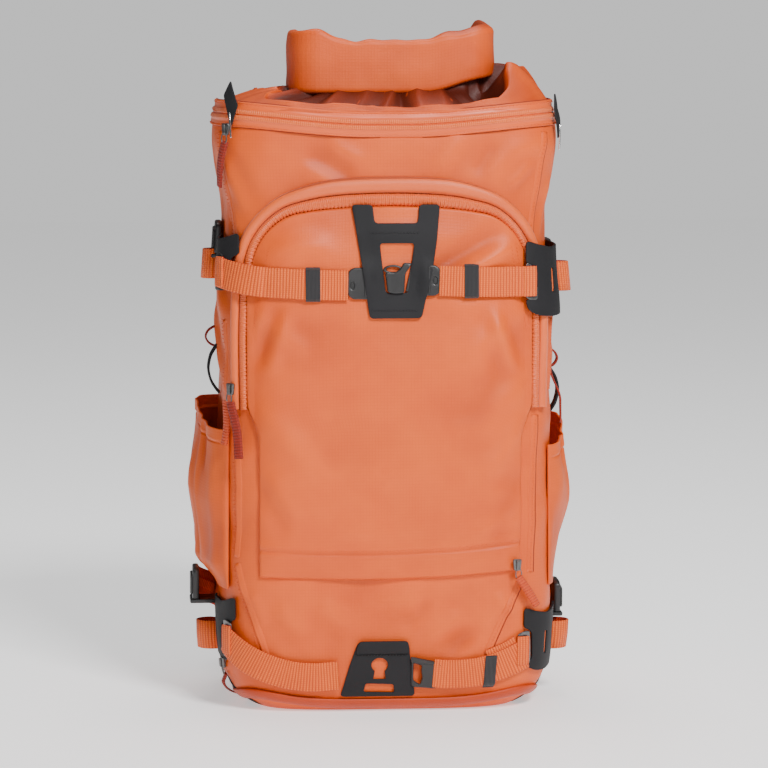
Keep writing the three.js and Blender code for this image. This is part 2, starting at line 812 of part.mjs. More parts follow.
function makeCentreBuckle() {
  const half = centreBuckleWidth / 2;
  const low = upperStrapZ - centreBuckleHeight / 2 - 1;
  const high = low + centreBuckleHeight;
  const outline = rounded([[-half * 0.45, low], [half * 0.45, low], [half, high - 5], [half * 0.9, high], [-half * 0.9, high], [-half, high - 5]], 3, 2);
  const hole = rounded(rectangle(-2.6, 2.6, low + 9, high - 6), 2, 1);
  addPiece('centre_buckle', plate(outline, {
    holes: [hole], lift: (s, z) => panelOutside(s, z) + clearance, thickness: () => plateThickness, stepS: 20, stepZ: 30,
  }), black, 0.4);
}

// Patches at the four corners, with a notch and a slot for the straps.
const cornerPatches = [
  { name: 'upper_left', side: -1, start: archHalfWidth + 16, level: upperStrapZ, top: 41, bottom: -7, strap: 13, sideStrap: 17 },
  { name: 'upper_right', side: 1, start: archHalfWidth - 17, level: upperStrapZ, top: 34, bottom: -29, strap: 0, sideStrap: 4 },
  { name: 'lower_left', side: -1, start: archHalfWidth + 12, level: lowerStrapZ, top: 63, bottom: 9, strap: 32, sideStrap: 31 },
  { name: 'lower_right', side: 1, start: archHalfWidth - 14, level: lowerStrapZ, top: 53, bottom: -3, strap: 20, sideStrap: 26 },
].map((row) => ({
  ...row,
  top: row.level + row.top,
  bottom: row.level + row.bottom,
  strapZ: row.level + row.strap,
  sideZ: row.level + row.sideStrap,
}));

function makeCornerPatches() {
  const notch = 6;
  for (const row of cornerPatches) {
    const halfSlot = Math.min(webbingWidth / 2 + 1, (row.top - row.bottom) / 2 - 5);
    const start = row.start;
    const end = cornerPatchEnd;
    const points = [
      [start, row.top], [start, row.strapZ + halfSlot], [start + notch, row.strapZ + halfSlot],
      [start + notch, row.strapZ - halfSlot], [start, row.strapZ - halfSlot], [start + 4, row.bottom],
      [end - 8, row.bottom + 2], [end, row.bottom + 12], [end, row.top - 8], [end - 6, row.top - 4],
    ];
    const slotStart = end - 16;
    const slot = rectangle(slotStart, slotStart + 4, row.strapZ - halfSlot + 2, row.strapZ + halfSlot - 2);
    const turned = (list) => list.map(([s, z]) => [row.side * s, z]);
    const upper = row.top > panelBottom;
    addPiece(`corner_patch_${row.name}`, plate(turned(rounded(points, 3, 1)), {
      holes: [turned(slot)],
      lift: (s, z) => clearance + (upper ? strapHeight(s, z) : 0.6),
      thickness: () => patchThickness,
      stepS: 15.5,
      stepZ: 45.45,
    }), black, 0.55);
  }
}

// A strip through points of s, z and d, which may stand out from the bag or hang from it.
function outStrip(points, widthAt, thickness, steps) {
  const curve = new THREE.CatmullRomCurve3(points.map((point) => new THREE.Vector3(...point)), false, 'centripetal');
  const rings = [];
  for (let step = 0; step <= steps; step += 1) {
    const share = step / steps;
    const here = curve.getPointAt(share);
    const run = curve.getTangentAt(share);
    const length = Math.hypot(run.y, run.z) || 1;
    const upZ = run.z / length;
    const upD = -run.y / length;
    const half = widthAt(share) / 2;
    const at = (across, height) => onBag(here.x + across, here.y + upZ * height, here.z + upD * height);
    rings.push([at(-half, 0), at(half, 0), at(half, thickness), at(-half, thickness)]);
  }
  return loft(rings);
}

function makeSideStraps() {
  for (const row of cornerPatches) {
    const start = cornerPatchEnd + clearance;
    const end = start + buckleLength;
    const z = row.sideZ;
    const sideways = (s) => row.side * s;
    const path = line([sideways(end + clearance), z], [sideways(sideStrapEnd), z], 8);
    addPiece(`side_strap_${row.name}`, ribbon(path, () => flatProfile(webbingWidth, webbingThickness)), orangeWebbing, 0.75);
    const half = webbingWidth / 2 + 2;
    const outline = rounded(rectangle(start, end, z - half, z + half), 5, 2).map(([s, up]) => [sideways(s), up]);
    addPiece(`side_buckle_${row.name}`, plate(outline, { thickness: () => buckleThickness, stepS: 18, stepZ: 90 }), black, 0.4);
    const middle = sideways(start + buckleLength * 0.45);
    const base = buckleThickness + 2 * clearance;
    const low = z - tailLength;
    const points = [
      [middle, z - 2, base], [middle, z - 5, base + tailGap * 0.8], [middle, low + 6, base + tailGap],
      [middle, low, base + 1],
    ];
    const tail = outStrip(points, () => webbingWidth * 0.8, webbingThickness, 9);
    addPiece(`strap_tail_${row.name}`, tail, orangeWebbing, 0.75);
  }
}

function makeSidePockets() {
  const low = sidePocketBottom;
  const high = low + sidePocketHeight;
  const start = sidePocketStart;
  const end = sidePocketEnd;
  for (const [name, side] of [['left', -1], ['right', 1]]) {
    const rim = [[start, high - 12], [start + 30, high - 10], [(start + end) / 2, high], [end, high - 4]];
    const outline = [...rim, [end, low + 12], [end - 14, low], [start + 14, low], [start, low + 12]];
    const bulge = (s, z) => {
      const across = THREE.MathUtils.clamp((Math.abs(s) - start) / (end - start), 0, 1);
      const up = THREE.MathUtils.clamp((z - low) / sidePocketHeight, 0, 1);
      return sidePocketBulge * Math.sin(Math.PI * across) ** 0.6 * Math.min(1, 0.35 + 0.75 * up) * ease(up, -0.02, 0.14);
    };
    addPiece(`side_pocket_${name}`, plate(outline.map(([s, z]) => [side * s, z]), {
      lift: (s, z) => clearance + bulge(s, z), stepS: 20, stepZ: 36,
    }), orange, 0.66);
  }
}

function makeSideTrim() {
  const loops = [{ name: 'left', s: -212, z: 318 }, { name: 'right', s: 208, z: 298 }];
  for (const row of loops) {
    const low = row.z - gearLoopHeight;
    const points = [[row.s, row.z, clearance], [row.s, row.z - 1, gearLoopReach * 0.7], [row.s, row.z - gearLoopHeight * 0.5, gearLoopReach], [row.s, low + 1, gearLoopReach * 0.7], [row.s, low, clearance]];
    addPiece(`gear_loop_${row.name}`, outStrip(points, () => 8, webbingThickness, 10), darkRed, 0.75);
  }
  const handles = [{ name: 'left', s: -196, z: 303 }, { name: 'right', s: 196, z: 283 }];
  for (const row of handles) {
    const low = row.z - sideHandleHeight;
    const points = [[row.s, row.z, clearance], [row.s, row.z - 3, 5], [row.s, (row.z + low) / 2, 7], [row.s, low + 3, 5], [row.s, low, clearance]];
    addPiece(`side_handle_${row.name}`, outStrip(points, () => 15, 2.2, 10), black, 0.6);
  }
}

function makePulls() {
  const proud = zipBandProud + 2 * clearance;
  const leafRise = bodyHeight + 24;
  for (const [name, side, drop] of [['left', -1, 0], ['right', 1, 12]]) {
    const s = side * 168;
    const top = leafRise - drop;
    const points = [[s, top, proud], [s, top - leafHeight / 2, proud + 1], [s, top - leafHeight, proud]];
    addPiece(`leaf_tab_${name}`, outStrip(points, (share) => 3 + (leafWidth - 3) * Math.sin(Math.PI * share), 1.6, 8), black, 0.6);
  }
  const overArch = archProud + 2 * clearance;
  const besidePanel = panelEdge + cloth + 2 * clearance;
  const sliders = [
    { name: 'top_left', s: -168, top: leafRise - leafHeight - clearance, d: proud, tags: [{ s: -172, length: 34, out: 3 }] },
    { name: 'panel_left', s: -133, top: 276, d: overArch, tags: [{ s: -148, length: 40, out: 0 }, { s: -138, length: 44, out: 0 }] },
    { name: 'panel_right', s: 104, top: 130, d: besidePanel + 0.6, tags: [{ s: 121, length: 30, out: 0 }] },
    { name: 'base_left', s: -176, top: 42, d: 1, tags: [{ s: -180, length: 26, out: 3.6 }] },
  ];
  for (const row of sliders) {
    const low = row.top - 8;
    const body = outStrip([[row.s, row.top, row.d], [row.s, low, row.d]], () => sliderWidth, sliderThickness, 2);
    addPiece(`slider_${row.name}`, body, metalGrey, 0.35, 0.8);
    row.tags.forEach((tag, index) => {
      const top = low - clearance;
      const from = row.s + (index - (row.tags.length - 1) / 2) * (tagWidth + 2) * Math.sign(tag.s - row.s || 1) * -1;
      const points = [[from, top, row.d], [(from + tag.s) / 2, top - tag.length / 2, row.d + 1 + tag.out / 2], [tag.s, top - tag.length, row.d + tag.out]];
      addPiece(`zip_tag_${row.name}${row.tags.length > 1 ? `_${index + 1}` : ''}`, outStrip(points, () => tagWidth, tagThickness, 5), index ? darkRed : orangeWebbing, 0.7);
    });
  }
}

// Padded back, shoulder straps, hip belt and grab handle.
function makeHarness() {
  const padFace = backDepth + clearance;
  const half = backPadWidth / 2;
  const padTop = backPadBottom + backPadHeight;
  const onBack = (x, z, d) => new THREE.Vector3(x, padFace + d, z);
  const ridge = (x, z) => {
    const across = Math.max(0, 1 - Math.abs((Math.abs(x) - half * 0.54) / (half * 0.46)) ** 3);
    const up = Math.min(1, Math.min(z - backPadBottom, padTop - z) / 26);
    return 3 + (backPadThickness - 3) * across * Math.sqrt(Math.max(up, 0));
  };
  addPiece('back_pad', plate(rounded(rectangle(-half, half, backPadBottom, padTop), 26, 4), {
    lift: () => 0, thickness: ridge, stepS: 36, stepZ: 65, place: onBack,
  }), black, 0.85);

  const middle = padFace + backPadThickness + clearance + hipBeltThickness / 2;
  const belt = [
    [-hipBeltHalfWidth, middle + hipBeltReach, hipBeltZ - 6], [-hipBeltHalfWidth * 0.95, middle + hipBeltReach * 0.5, hipBeltZ - 3],
    [-hipBeltHalfWidth * 0.76, middle + 7, hipBeltZ], [-hipBeltHalfWidth * 0.45, middle, hipBeltZ], [0, middle, hipBeltZ],
    [hipBeltHalfWidth * 0.45, middle, hipBeltZ], [hipBeltHalfWidth * 0.76, middle + 7, hipBeltZ],
    [hipBeltHalfWidth * 0.95, middle + hipBeltReach * 0.5, hipBeltZ - 3], [hipBeltHalfWidth, middle + hipBeltReach, hipBeltZ - 6],
  ];
  const beltWidth = (share) => hipBeltHeight * (1 - 0.45 * Math.abs(2 * share - 1) ** 3);
  addPiece('hip_belt', sweep(belt, [0, 0, 1], (share) => padProfile(beltWidth(share), hipBeltThickness), 18), black, 0.85);

  const upperBack = bodySection(shoulderTop + 14).back;
  const startY = upperBack + clearance + shoulderThickness / 2;
  for (const [name, side] of [['left', -1], ['right', 1]]) {
    const points = [
      [shoulderSpread - 6, startY, shoulderTop + 14], [shoulderSpread - 4, startY + 10, shoulderTop + 26],
      [shoulderSpread, startY + shoulderReach * 0.62, shoulderTop + 6], [shoulderSpread + 8, startY + shoulderReach, shoulderTop - 70],
      [shoulderSpread + 18, startY + shoulderReach * 0.9, shoulderTop - 170], [shoulderSpread + 30, startY + shoulderReach * 0.42, shoulderPadEnd],
      [shoulderSpread + 56, startY + 5, shoulderPadEnd - 50], [shoulderSpread + 69, startY - 9, shoulderPadEnd - 95], [shoulderSpread + 70, startY - 13, shoulderPadEnd - 118],
    ].map(([x, y, z]) => [side * x, y, z]);
    const width = (share) => webbingWidth + (shoulderWidth - webbingWidth) * (1 - ease(share, 0.62, 0.72));
    const thick = (share) => 3 + (shoulderThickness - 3) * (1 - ease(share, 0.6, 0.7));
    addPiece(`shoulder_strap_${name}`, sweep(points, [1, 0, 0], (share) => padProfile(width(share), thick(share)), 21), black, 0.85);
  }

  const span = grabHandleSpan / 2;
  const foot = bodyHeight - 12;
  const handleY = bodySection(foot).back + clearance * 0.5 + grabHandleWidth / 2;
  const rise = bodyHeight + grabHandleRise;
  const handle = [[-span, handleY, foot], [-span * 0.98, handleY + 1, bodyHeight + 4], [-span * 0.7, handleY + 3, rise - 3], [0, handleY + 4, rise], [span * 0.7, handleY + 3, rise - 3], [span * 0.98, handleY + 1, bodyHeight + 4], [span, handleY, foot]];
  addPiece('grab_handle', sweep(handle, [0, 1, 0], () => flatProfile(grabHandleWidth, 3).map(([w, h]) => [w, h - 1.5]), 20), black, 0.85);
}

makeShell();
makeNeck();
makeRoll();
makeZipBand();
makeArch();
makePanel();
makeBaseBand();
makeUpperPatch();
makeLowerPatch();
makeFrontStraps();
makeBucklePlates();
makeCentreBuckle();
makeCornerPatches();
makeSideStraps();
makeSidePockets();
makeSideTrim();
makePulls();
makeHarness();

// The origin is the middle of the bottom of the whole bag's box.
const box = new THREE.Box3().setFromObject(bag);
bag.position.set(-(box.min.x + box.max.x) / 2, -(box.min.y + box.max.y) / 2, -box.min.z);
bag.updateMatrixWorld(true);

export default bag;
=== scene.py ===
import math

import bpy
import numpy as np
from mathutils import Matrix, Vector


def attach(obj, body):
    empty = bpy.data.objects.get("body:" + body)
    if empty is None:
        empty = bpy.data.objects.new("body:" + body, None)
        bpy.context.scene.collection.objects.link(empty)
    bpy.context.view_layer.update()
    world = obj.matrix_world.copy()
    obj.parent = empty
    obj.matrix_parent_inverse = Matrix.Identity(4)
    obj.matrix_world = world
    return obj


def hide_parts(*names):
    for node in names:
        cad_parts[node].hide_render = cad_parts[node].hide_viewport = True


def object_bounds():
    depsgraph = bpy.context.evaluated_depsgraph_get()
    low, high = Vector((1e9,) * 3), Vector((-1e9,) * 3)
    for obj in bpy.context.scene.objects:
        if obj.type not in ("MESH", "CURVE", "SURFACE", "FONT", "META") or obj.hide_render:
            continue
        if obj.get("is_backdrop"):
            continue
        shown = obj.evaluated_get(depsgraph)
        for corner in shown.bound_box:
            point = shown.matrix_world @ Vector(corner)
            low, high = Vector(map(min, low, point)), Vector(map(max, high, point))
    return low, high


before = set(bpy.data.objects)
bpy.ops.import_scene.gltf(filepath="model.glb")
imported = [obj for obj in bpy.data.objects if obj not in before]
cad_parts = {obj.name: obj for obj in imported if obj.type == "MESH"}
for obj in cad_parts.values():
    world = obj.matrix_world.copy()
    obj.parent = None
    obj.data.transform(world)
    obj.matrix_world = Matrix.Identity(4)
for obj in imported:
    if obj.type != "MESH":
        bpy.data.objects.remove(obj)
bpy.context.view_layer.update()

# Camera, floor and light
# A long lens a little to the bag's left and a little above its middle, a pale floor, and three large
# soft lamps in a white room.
view_target = Vector((0.0027, -0.019, 0.2668))
view_distance = 3.0
view_width = 0.662
view_azimuth = math.radians(-4.2)
view_elevation = math.radians(6.0)
film_width = 36.0

view_back = Vector((
    math.sin(view_azimuth) * math.cos(view_elevation),
    -math.cos(view_azimuth) * math.cos(view_elevation),
    math.sin(view_elevation),
))
bpy.ops.object.camera_add(
    location=view_target + view_back * view_distance,
    rotation=(-view_back).to_track_quat("-Z", "Y").to_euler(),
)
camera = bpy.context.object
camera.data.sensor_width = film_width
camera.data.lens = film_width * view_distance / view_width
bpy.context.scene.camera = camera

for name, place, size, power in (
    ("lamp_key", (1.0, -2.5, 2.45), 0.8, 142),
    ("lamp_front", (-0.7, -3.4, 0.9), 1.6, 16),
    ("lamp_top", (0.0, 0.5, 2.9), 1.2, 40),
):
    aim = (view_target - Vector(place)).to_track_quat("-Z", "Y").to_euler()
    bpy.ops.object.light_add(type="AREA", location=place, rotation=aim)
    lamp = bpy.context.object
    lamp.name = name
    lamp.data.size = size
    lamp.data.energy = power

room = bpy.data.worlds.new("white_room")
bpy.context.scene.world = room
room.use_nodes = True
room_tree = room.node_tree
backdrop, seen, either = [room_tree.nodes.new("ShaderNode" + kind) for kind in ("Background", "LightPath", "MixShader")]
for source, strength in ((room_tree.nodes["Background"], 0.11), (backdrop, 0.74)):
    source.inputs["Color"].default_value = (1, 1, 1, 1)
    source.inputs["Strength"].default_value = strength
for out, socket in (
    (seen.outputs["Is Camera Ray"], either.inputs[0]), (room_tree.nodes["Background"].outputs[0], either.inputs[1]),
    (backdrop.outputs[0], either.inputs[2]), (either.outputs[0], room_tree.nodes["World Output"].inputs[0]),
):
    room_tree.links.new(out, socket)

bpy.ops.mesh.primitive_plane_add(size=14, location=(0, 0, -0.0002))
floor = bpy.context.object
floor.name = "floor"
floor_paint = bpy.data.materials.new("floor_paint")
floor_paint.use_nodes = True
paint_inputs = floor_paint.node_tree.nodes["Principled BSDF"].inputs
for socket, value in (
    ("Base Color", (0.86, 0.86, 0.86, 1)), ("Roughness", 0.8), ("Emission Color", (1, 1, 1, 1)), ("Emission Strength", 0.6),
):
    paint_inputs[socket].default_value = value
floor.data.materials.append(floor_paint)
floor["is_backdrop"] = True

# Body
# A padded shell of coated ripstop cloth, sewn from panels and pulled in at the waist by its straps.
# Everything else is laid on it: s runs round it from the middle of the front, z up, d outwards.
mm = 0.001
body_width = 291.5
front_depth = 112.0
back_depth = 92.0
body_height = 505.0
body_centre = (0.04, -18.68)
body_sections = np.array([
    # height, half width, front depth, back depth, how square
    (0.0, 0.775, 0.79, 0.86, 4.4),
    (0.016, 0.855, 0.865, 0.93, 4.6),
    (0.04, 0.915, 0.915, 0.97, 4.8),
    (0.09, 0.962, 0.95, 1.0, 5.0),
    (0.2, 0.968, 0.985, 1.0, 5.2),
    (0.38, 0.955, 1.0, 1.0, 5.4),
    (0.55, 0.952, 1.0, 1.0, 5.4),
    (0.66, 0.966, 0.99, 1.0, 5.4),
    (0.74, 0.948, 0.97, 1.0, 5.2),
    (0.83, 0.93, 0.945, 0.995, 5.0),
    (0.88, 0.955, 0.94, 0.99, 4.8),
    (0.93, 0.985, 0.935, 0.985, 4.8),
    (0.975, 1.0, 0.92, 0.98, 4.8),
    (1.0, 0.988, 0.905, 0.965, 4.8),
])


def lengths(points):
    """The length of a line up to each of its points."""
    return np.concatenate([[0], np.cumsum(np.linalg.norm(np.diff(points, axis=0), axis=1))])


def run_of(points):
    """The direction in which a line runs at each of its points."""
    run = np.gradient(points, axis=0)
    return run / np.linalg.norm(run, axis=1)[:, None]


def curve_between(a, b, c, d, t):
    """A smooth curve from b to c that also heeds the points before and after them."""
    return 0.5 * (2 * b + (c - a) * t + (2 * a - 5 * b + 4 * c - d) * t**2 + (3 * b - a - 3 * c + d) * t**3)


def smooth_line(points, count):
    """Evenly spaced points on a smooth line through a few points."""
    p = np.asarray(points, float)
    p = np.vstack([2 * p[0] - p[1], p, 2 * p[-1] - p[-2]])
    t = np.linspace(0, 1, 24, endpoint=False)[:, None]
    fine = np.vstack([*[curve_between(*near, t) for near in zip(p, p[1:], p[2:], p[3:])], p[-2][None]])
    length = lengths(fine)
    even = np.linspace(0, length[-1], count + 1)
    return np.stack([np.interp(even, length, column) for column in fine.T], axis=1)


def smooth_step(value, start, end):
    t = np.clip((value - start) / (end - start), 0, 1)
    return t * t * (3 - 2 * t)


section_scale = np.array([body_height, body_width / 2, front_depth, back_depth, 1.0])
fine_sections = smooth_line(body_sections * section_scale, 500)
levels = np.linspace(0, body_height, 127)
level_shape = [np.interp(levels, fine_sections[:, 0], fine_sections[:, k]) for k in range(1, 5)]
level_shape[0] -= 4.0 * np.clip((levels - 470) / 35, 0, 1) ** 1.5
turns = np.linspace(0, math.pi, 1441)
shares = np.linspace(0, 1, 541)


def section_point(turn, half, front, back, square):
    """The point of a level section that lies in a direction, and the way out from there."""
    across, along = np.sin(turn), np.cos(turn)
    depth = np.where(along > 0, front, back)
    reach = (np.abs(across / half) ** square + np.abs(along / depth) ** square) ** (-1 / square)
    x, y = reach * across, -reach * along
    out_x = np.sign(x) * np.abs(x / half) ** (square - 1) / half
    out_y = np.sign(y) * np.abs(y / depth) ** (square - 1) / depth
    size = np.hypot(out_x, out_y)
    return x, y, out_x / size, out_y / size


level_girth = np.zeros(len(levels))
level_turns = np.zeros((len(levels), len(shares)))
for row, shape in enumerate(zip(*level_shape)):
    run = lengths(np.stack(section_point(turns, *shape)[:2], axis=1))
    level_girth[row] = run[-1]
    level_turns[row] = np.interp(shares * run[-1], run, turns)


def girth_at(z):
    """Half the way round the bag at a height."""
    return np.interp(z, levels, level_girth)


def bag_point(s, z, d):
    """Metres in the frame of the place s round the bag, z up and d out from its skin, in millimetres."""
    s, z, d = np.broadcast_arrays(np.asarray(s, float), np.asarray(z, float), np.asarray(d, float))
    level = np.clip(z, 0, body_height - 1e-6) / body_height * (len(levels) - 1)
    low = level.astype(int)
    part = level - low
    girth = level_girth[low] * (1 - part) + level_girth[low + 1] * part
    share = np.clip(np.abs(s) / girth, 0, 1 - 1e-9) * (len(shares) - 1)
    left = share.astype(int)
    side = share - left
    lower, upper = [level_turns[row, left] * (1 - side) + level_turns[row, left + 1] * side for row in (low, low + 1)]
    turn = lower * (1 - part) + upper * part
    shape = [column[low] * (1 - part) + column[low + 1] * part for column in level_shape]
    x, y, out_x, out_y = section_point(turn, *shape)
    sign = np.where(s < 0, -1.0, 1.0)
    return np.stack([sign * (x + d * out_x) + body_centre[0], y + d * out_y + body_centre[1], z], axis=-1) * mm


def folds(s, z, rows):
    """Height of soft folds: from s and z, to s and z, half width and height of each."""
    height = np.zeros(np.broadcast(s, z).shape)
    for s0, z0, s1, z1, wide, high in rows:
        length = math.hypot(s1 - s0, z1 - z0)
        along = ((s - s0) * (s1 - s0) + (z - z0) * (z1 - z0)) / length**2
        across = ((s - s0) * (z1 - z0) - (z - z0) * (s1 - s0)) / length / wide
        fade = np.exp(-np.abs((2 * along - 1) / 0.9) ** 5)
        height += high * fade * (np.exp(-across**2) - 0.5 * np.exp(-((across - 1.7) ** 2)))
    return height


def ripple(s, z, reach, high, seed):
    """Slow unevenness of slack cloth, with waves of about one length in all directions."""
    chance = np.random.default_rng(seed)
    total = np.zeros(np.broadcast(s, z).shape)
    for _ in range(8):
        turn, start, size = chance.uniform(0, 2 * math.pi, 2).tolist() + [chance.uniform(0.7, 1.5)]
        total += np.sin((s * math.cos(turn) + z * math.sin(turn)) * 2 * math.pi / reach / size + start)
    return high * total / 3


body_folds = [
    # s, z to s, z, half width, height
    (-70, 470, -30, 448, 7, -1.6), (-52, 480, -22, 462, 6, 1.2), (38, 455, 60, 486, 8, 1.4),
    (70, 452, 88, 478, 7, -1.3), (100, 440, 122, 462, 5, 1.3), (96, 470, 140, 482, 9, 1.2),
    (-120, 420, -150, 470, 7, 1.5), (134, 400, 150, 450, 6, 1.3), (-130, 380, -150, 430, 6, -1.4),
    (-150, 330, -200, 390, 9, 2.0), (150, 320, 200, 380, 9, 2.0), (-160, 280, -240, 340, 9, 1.8),
    (160, 290, 240, 350, 9, 1.8), (-200, 420, -260, 480, 9, -1.8), (200, 420, 260, 470, 9, -1.8),
    (30, 62, 62, 84, 8, 1.6), (48, 52, 78, 72, 7, -1.6), (66, 58, 96, 94, 8, 1.5), (88, 100, 106, 82, 5, 1.3),
    (-60, 96, -30, 70, 9, 1.4), (-96, 92, -70, 66, 8, 1.3), (-10, 100, 26, 92, 10, 1.4), (10, 74, 34, 96, 7, -1.0),
    (-118, 104, -104, 74, 6, 1.3), (-140, 40, -170, 30, 7, 1.2), (130, 20, 160, 36, 7, 1.2),
    (-210, 60, -260, 90, 9, 1.6), (210, 60, 260, 90, 9, 1.6), (-230, 130, -280, 190, 10, 1.6), (230, 130, 280, 190, 10, 1.6),
]


def body_relief(s, z):
    """How far the cloth of the body stands proud of its plain shape."""
    calm = smooth_step(z, 6, 30) * (1 - 0.5 * smooth_step(z, 470, 500))
    under_panel = (1 - smooth_step(np.abs(s), 100, 120)) * smooth_step(z, 108, 120) * (1 - smooth_step(z, 415, 432))
    height = 1.5 * folds(s, z, body_folds) + ripple(s, z, 95, 1.3, 3) + ripple(s, z, 36, 0.35, 8)
    pinch = np.exp(-(((z - 372) / 12) ** 2)) + np.exp(-(((z - 52) / 14) ** 2)) * 0.8
    return (height - 1.2 * pinch * smooth_step(np.abs(s), 118, 140)) * calm * (1 - 0.85 * under_panel)


def around_centre(points):
    """Metres in the frame of points given in millimetres from the body's middle."""
    return (np.asarray(points) + (*body_centre, 0)) * mm


def points_of(piece):
    co = np.zeros(len(piece.data.vertices) * 3, np.float32)
    piece.data.vertices.foreach_get("co", co)
    return co.reshape(-1, 3).astype(float)


def move_points(piece, points):
    piece.data.vertices.foreach_set("co", points.reshape(-1).astype(np.float32))
    piece.data.update()


def metric_uv(points):
    """A map in metres that follows a grid of points."""
    across = np.linalg.norm(np.diff(points, axis=1), axis=2).mean(axis=0)
    along = np.linalg.norm(np.diff(points, axis=0), axis=2).mean(axis=1)
    return np.stack(np.meshgrid(*[np.concatenate([[0], np.cumsum(steps)]) for steps in (across, along)]), axis=-1)


def sheet_of(name, points, uv=None):
    """A cloth grid, added flat and laid out at the given points, with its seams merged."""
    rows, columns = points.shape[0] - 1, points.shape[1] - 1
    uv = metric_uv(points) if uv is None else uv
    bpy.ops.object.select_all(action="DESELECT")
    bpy.ops.mesh.primitive_grid_add(x_subdivisions=columns, y_subdivisions=rows, size=1)
    piece = bpy.context.object
    piece.name = piece.data.name = name
    corner = np.zeros(len(piece.data.loops), np.int32)
    piece.data.loops.foreach_get("vertex_index", corner)
    move_points(piece, points)
    piece.data.uv_layers.active.data.foreach_set("uv", uv.reshape(-1, 2)[corner].reshape(-1).astype(np.float32))
    bpy.ops.object.mode_set(mode="EDIT")
    bpy.ops.mesh.select_all(action="SELECT")
    bpy.ops.mesh.remove_doubles(threshold=2e-6)
    bpy.ops.mesh.normals_make_consistent(inside=False)
    bpy.ops.object.mode_set(mode="OBJECT")
    bpy.ops.object.shade_smooth()
    return piece


class Socket:
    """A value on its way through a finish, so that patterns are written as plain sums."""

    def __init__(self, finish, out):
        self.finish, self.out = finish, out

    def math(self, operation, *others):
        return self.finish.node("Math", {"operation": operation}, self, *others)

    def limited(self):
        """The value kept between 0 and 1."""
        return self.math("MINIMUM", 1.0).math("MAXIMUM", 0.0)

    def __add__(self, other):
        return self.math("ADD", other)

    def __mul__(self, other):
        return self.math("MULTIPLY", other)

    def __sub__(self, other):
        return self.math("SUBTRACT", other)

    def __rsub__(self, other):
        return self.finish.node("Math", {"operation": "SUBTRACT"}, other, self)

    def __truediv__(self, other):
        return self.math("DIVIDE", other)

    __radd__, __rmul__ = __add__, __mul__


class Finish:
    """One material: its shader, and the nodes that give it colour, grain and gloss."""

    def __init__(self, name, roughness=0.5, **fixed):
        self.material = bpy.data.materials.new(name)
        self.material.use_nodes = True
        self.tree = self.material.node_tree
        self.shader = self.tree.nodes["Principled BSDF"]
        self.shader.inputs["Roughness"].default_value = roughness
        for socket, value in fixed.items():
            self.shader.inputs[socket.replace("_", " ")].default_value = value

    def put(self, socket, value):
        if isinstance(value, Socket):
            self.tree.links.new(value.out, socket)
        elif value is not None:
            socket.default_value = value

    def node(self, kind, settings=None, *values, output=0, **named):
        made = self.tree.nodes.new("ShaderNode" + kind)
        for key, value in (settings or {}).items():
            setattr(made, key, value)
        for k, value in enumerate(values):
            self.put(made.inputs[k], value)
        for socket, value in named.items():
            self.put(made.inputs[socket.replace("_", " ")], value)
        return Socket(self, made.outputs[output])

    def place(self, kind="Object"):
        return self.node("TexCoord", output={"Object": 3, "UV": 2}[kind])

    def noise(self, place, scale, detail=2.0, roughness=0.5):
        return self.node("TexNoise", None, Vector=place, Scale=scale, Detail=detail, Roughness=roughness)

    def blend(self, factor, first, second, kind="MIX"):
        made = self.tree.nodes.new("ShaderNodeMix")
        made.data_type, made.blend_type = "RGBA", kind
        for index, value in ((0, factor), (6, first), (7, second)):
            self.put(made.inputs[index], value)
        return Socket(self, made.outputs[2])

    def split(self, vector):
        made = self.tree.nodes.new("ShaderNodeSeparateXYZ")
        self.tree.links.new(vector.out, made.inputs[0])
        return [Socket(self, out) for out in made.outputs]

    def waves(self, value, period):
        """A row of even ridges from 0 to 1, one for each period in metres."""
        return (value * (2 * math.pi / period)).math("SINE") * 0.5 + 0.5

    def show(self, color, gloss, bump, depth):
        """Links the colour, the roughness if it varies, and the bump, and gives the material."""
        self.put(self.shader.inputs["Base Color"], color)
        if gloss is not None:
            self.put(self.shader.inputs["Roughness"], gloss)
        self.put(self.shader.inputs["Normal"], self.node("Bump", None, Height=bump, Distance=depth, Strength=1.0))
        return self.material


def plain_finish(name, roughness, tone, first, second, depth, gloss=None, grains=(), **fixed):
    """One colour that varies a little, with its gloss following it, and a fine grain or its own relief."""
    paint = Finish(name, roughness, **fixed)
    place = paint.place()
    tone = paint.noise(place, *tone)
    grain = sum(paint.noise(place, scale, detail) * share for scale, detail, share in grains) if grains else tone
    return paint.show(paint.blend(tone, (*first, 1), (*second, 1)), tone * gloss[0] + gloss[1] if gloss else None, grain, depth)


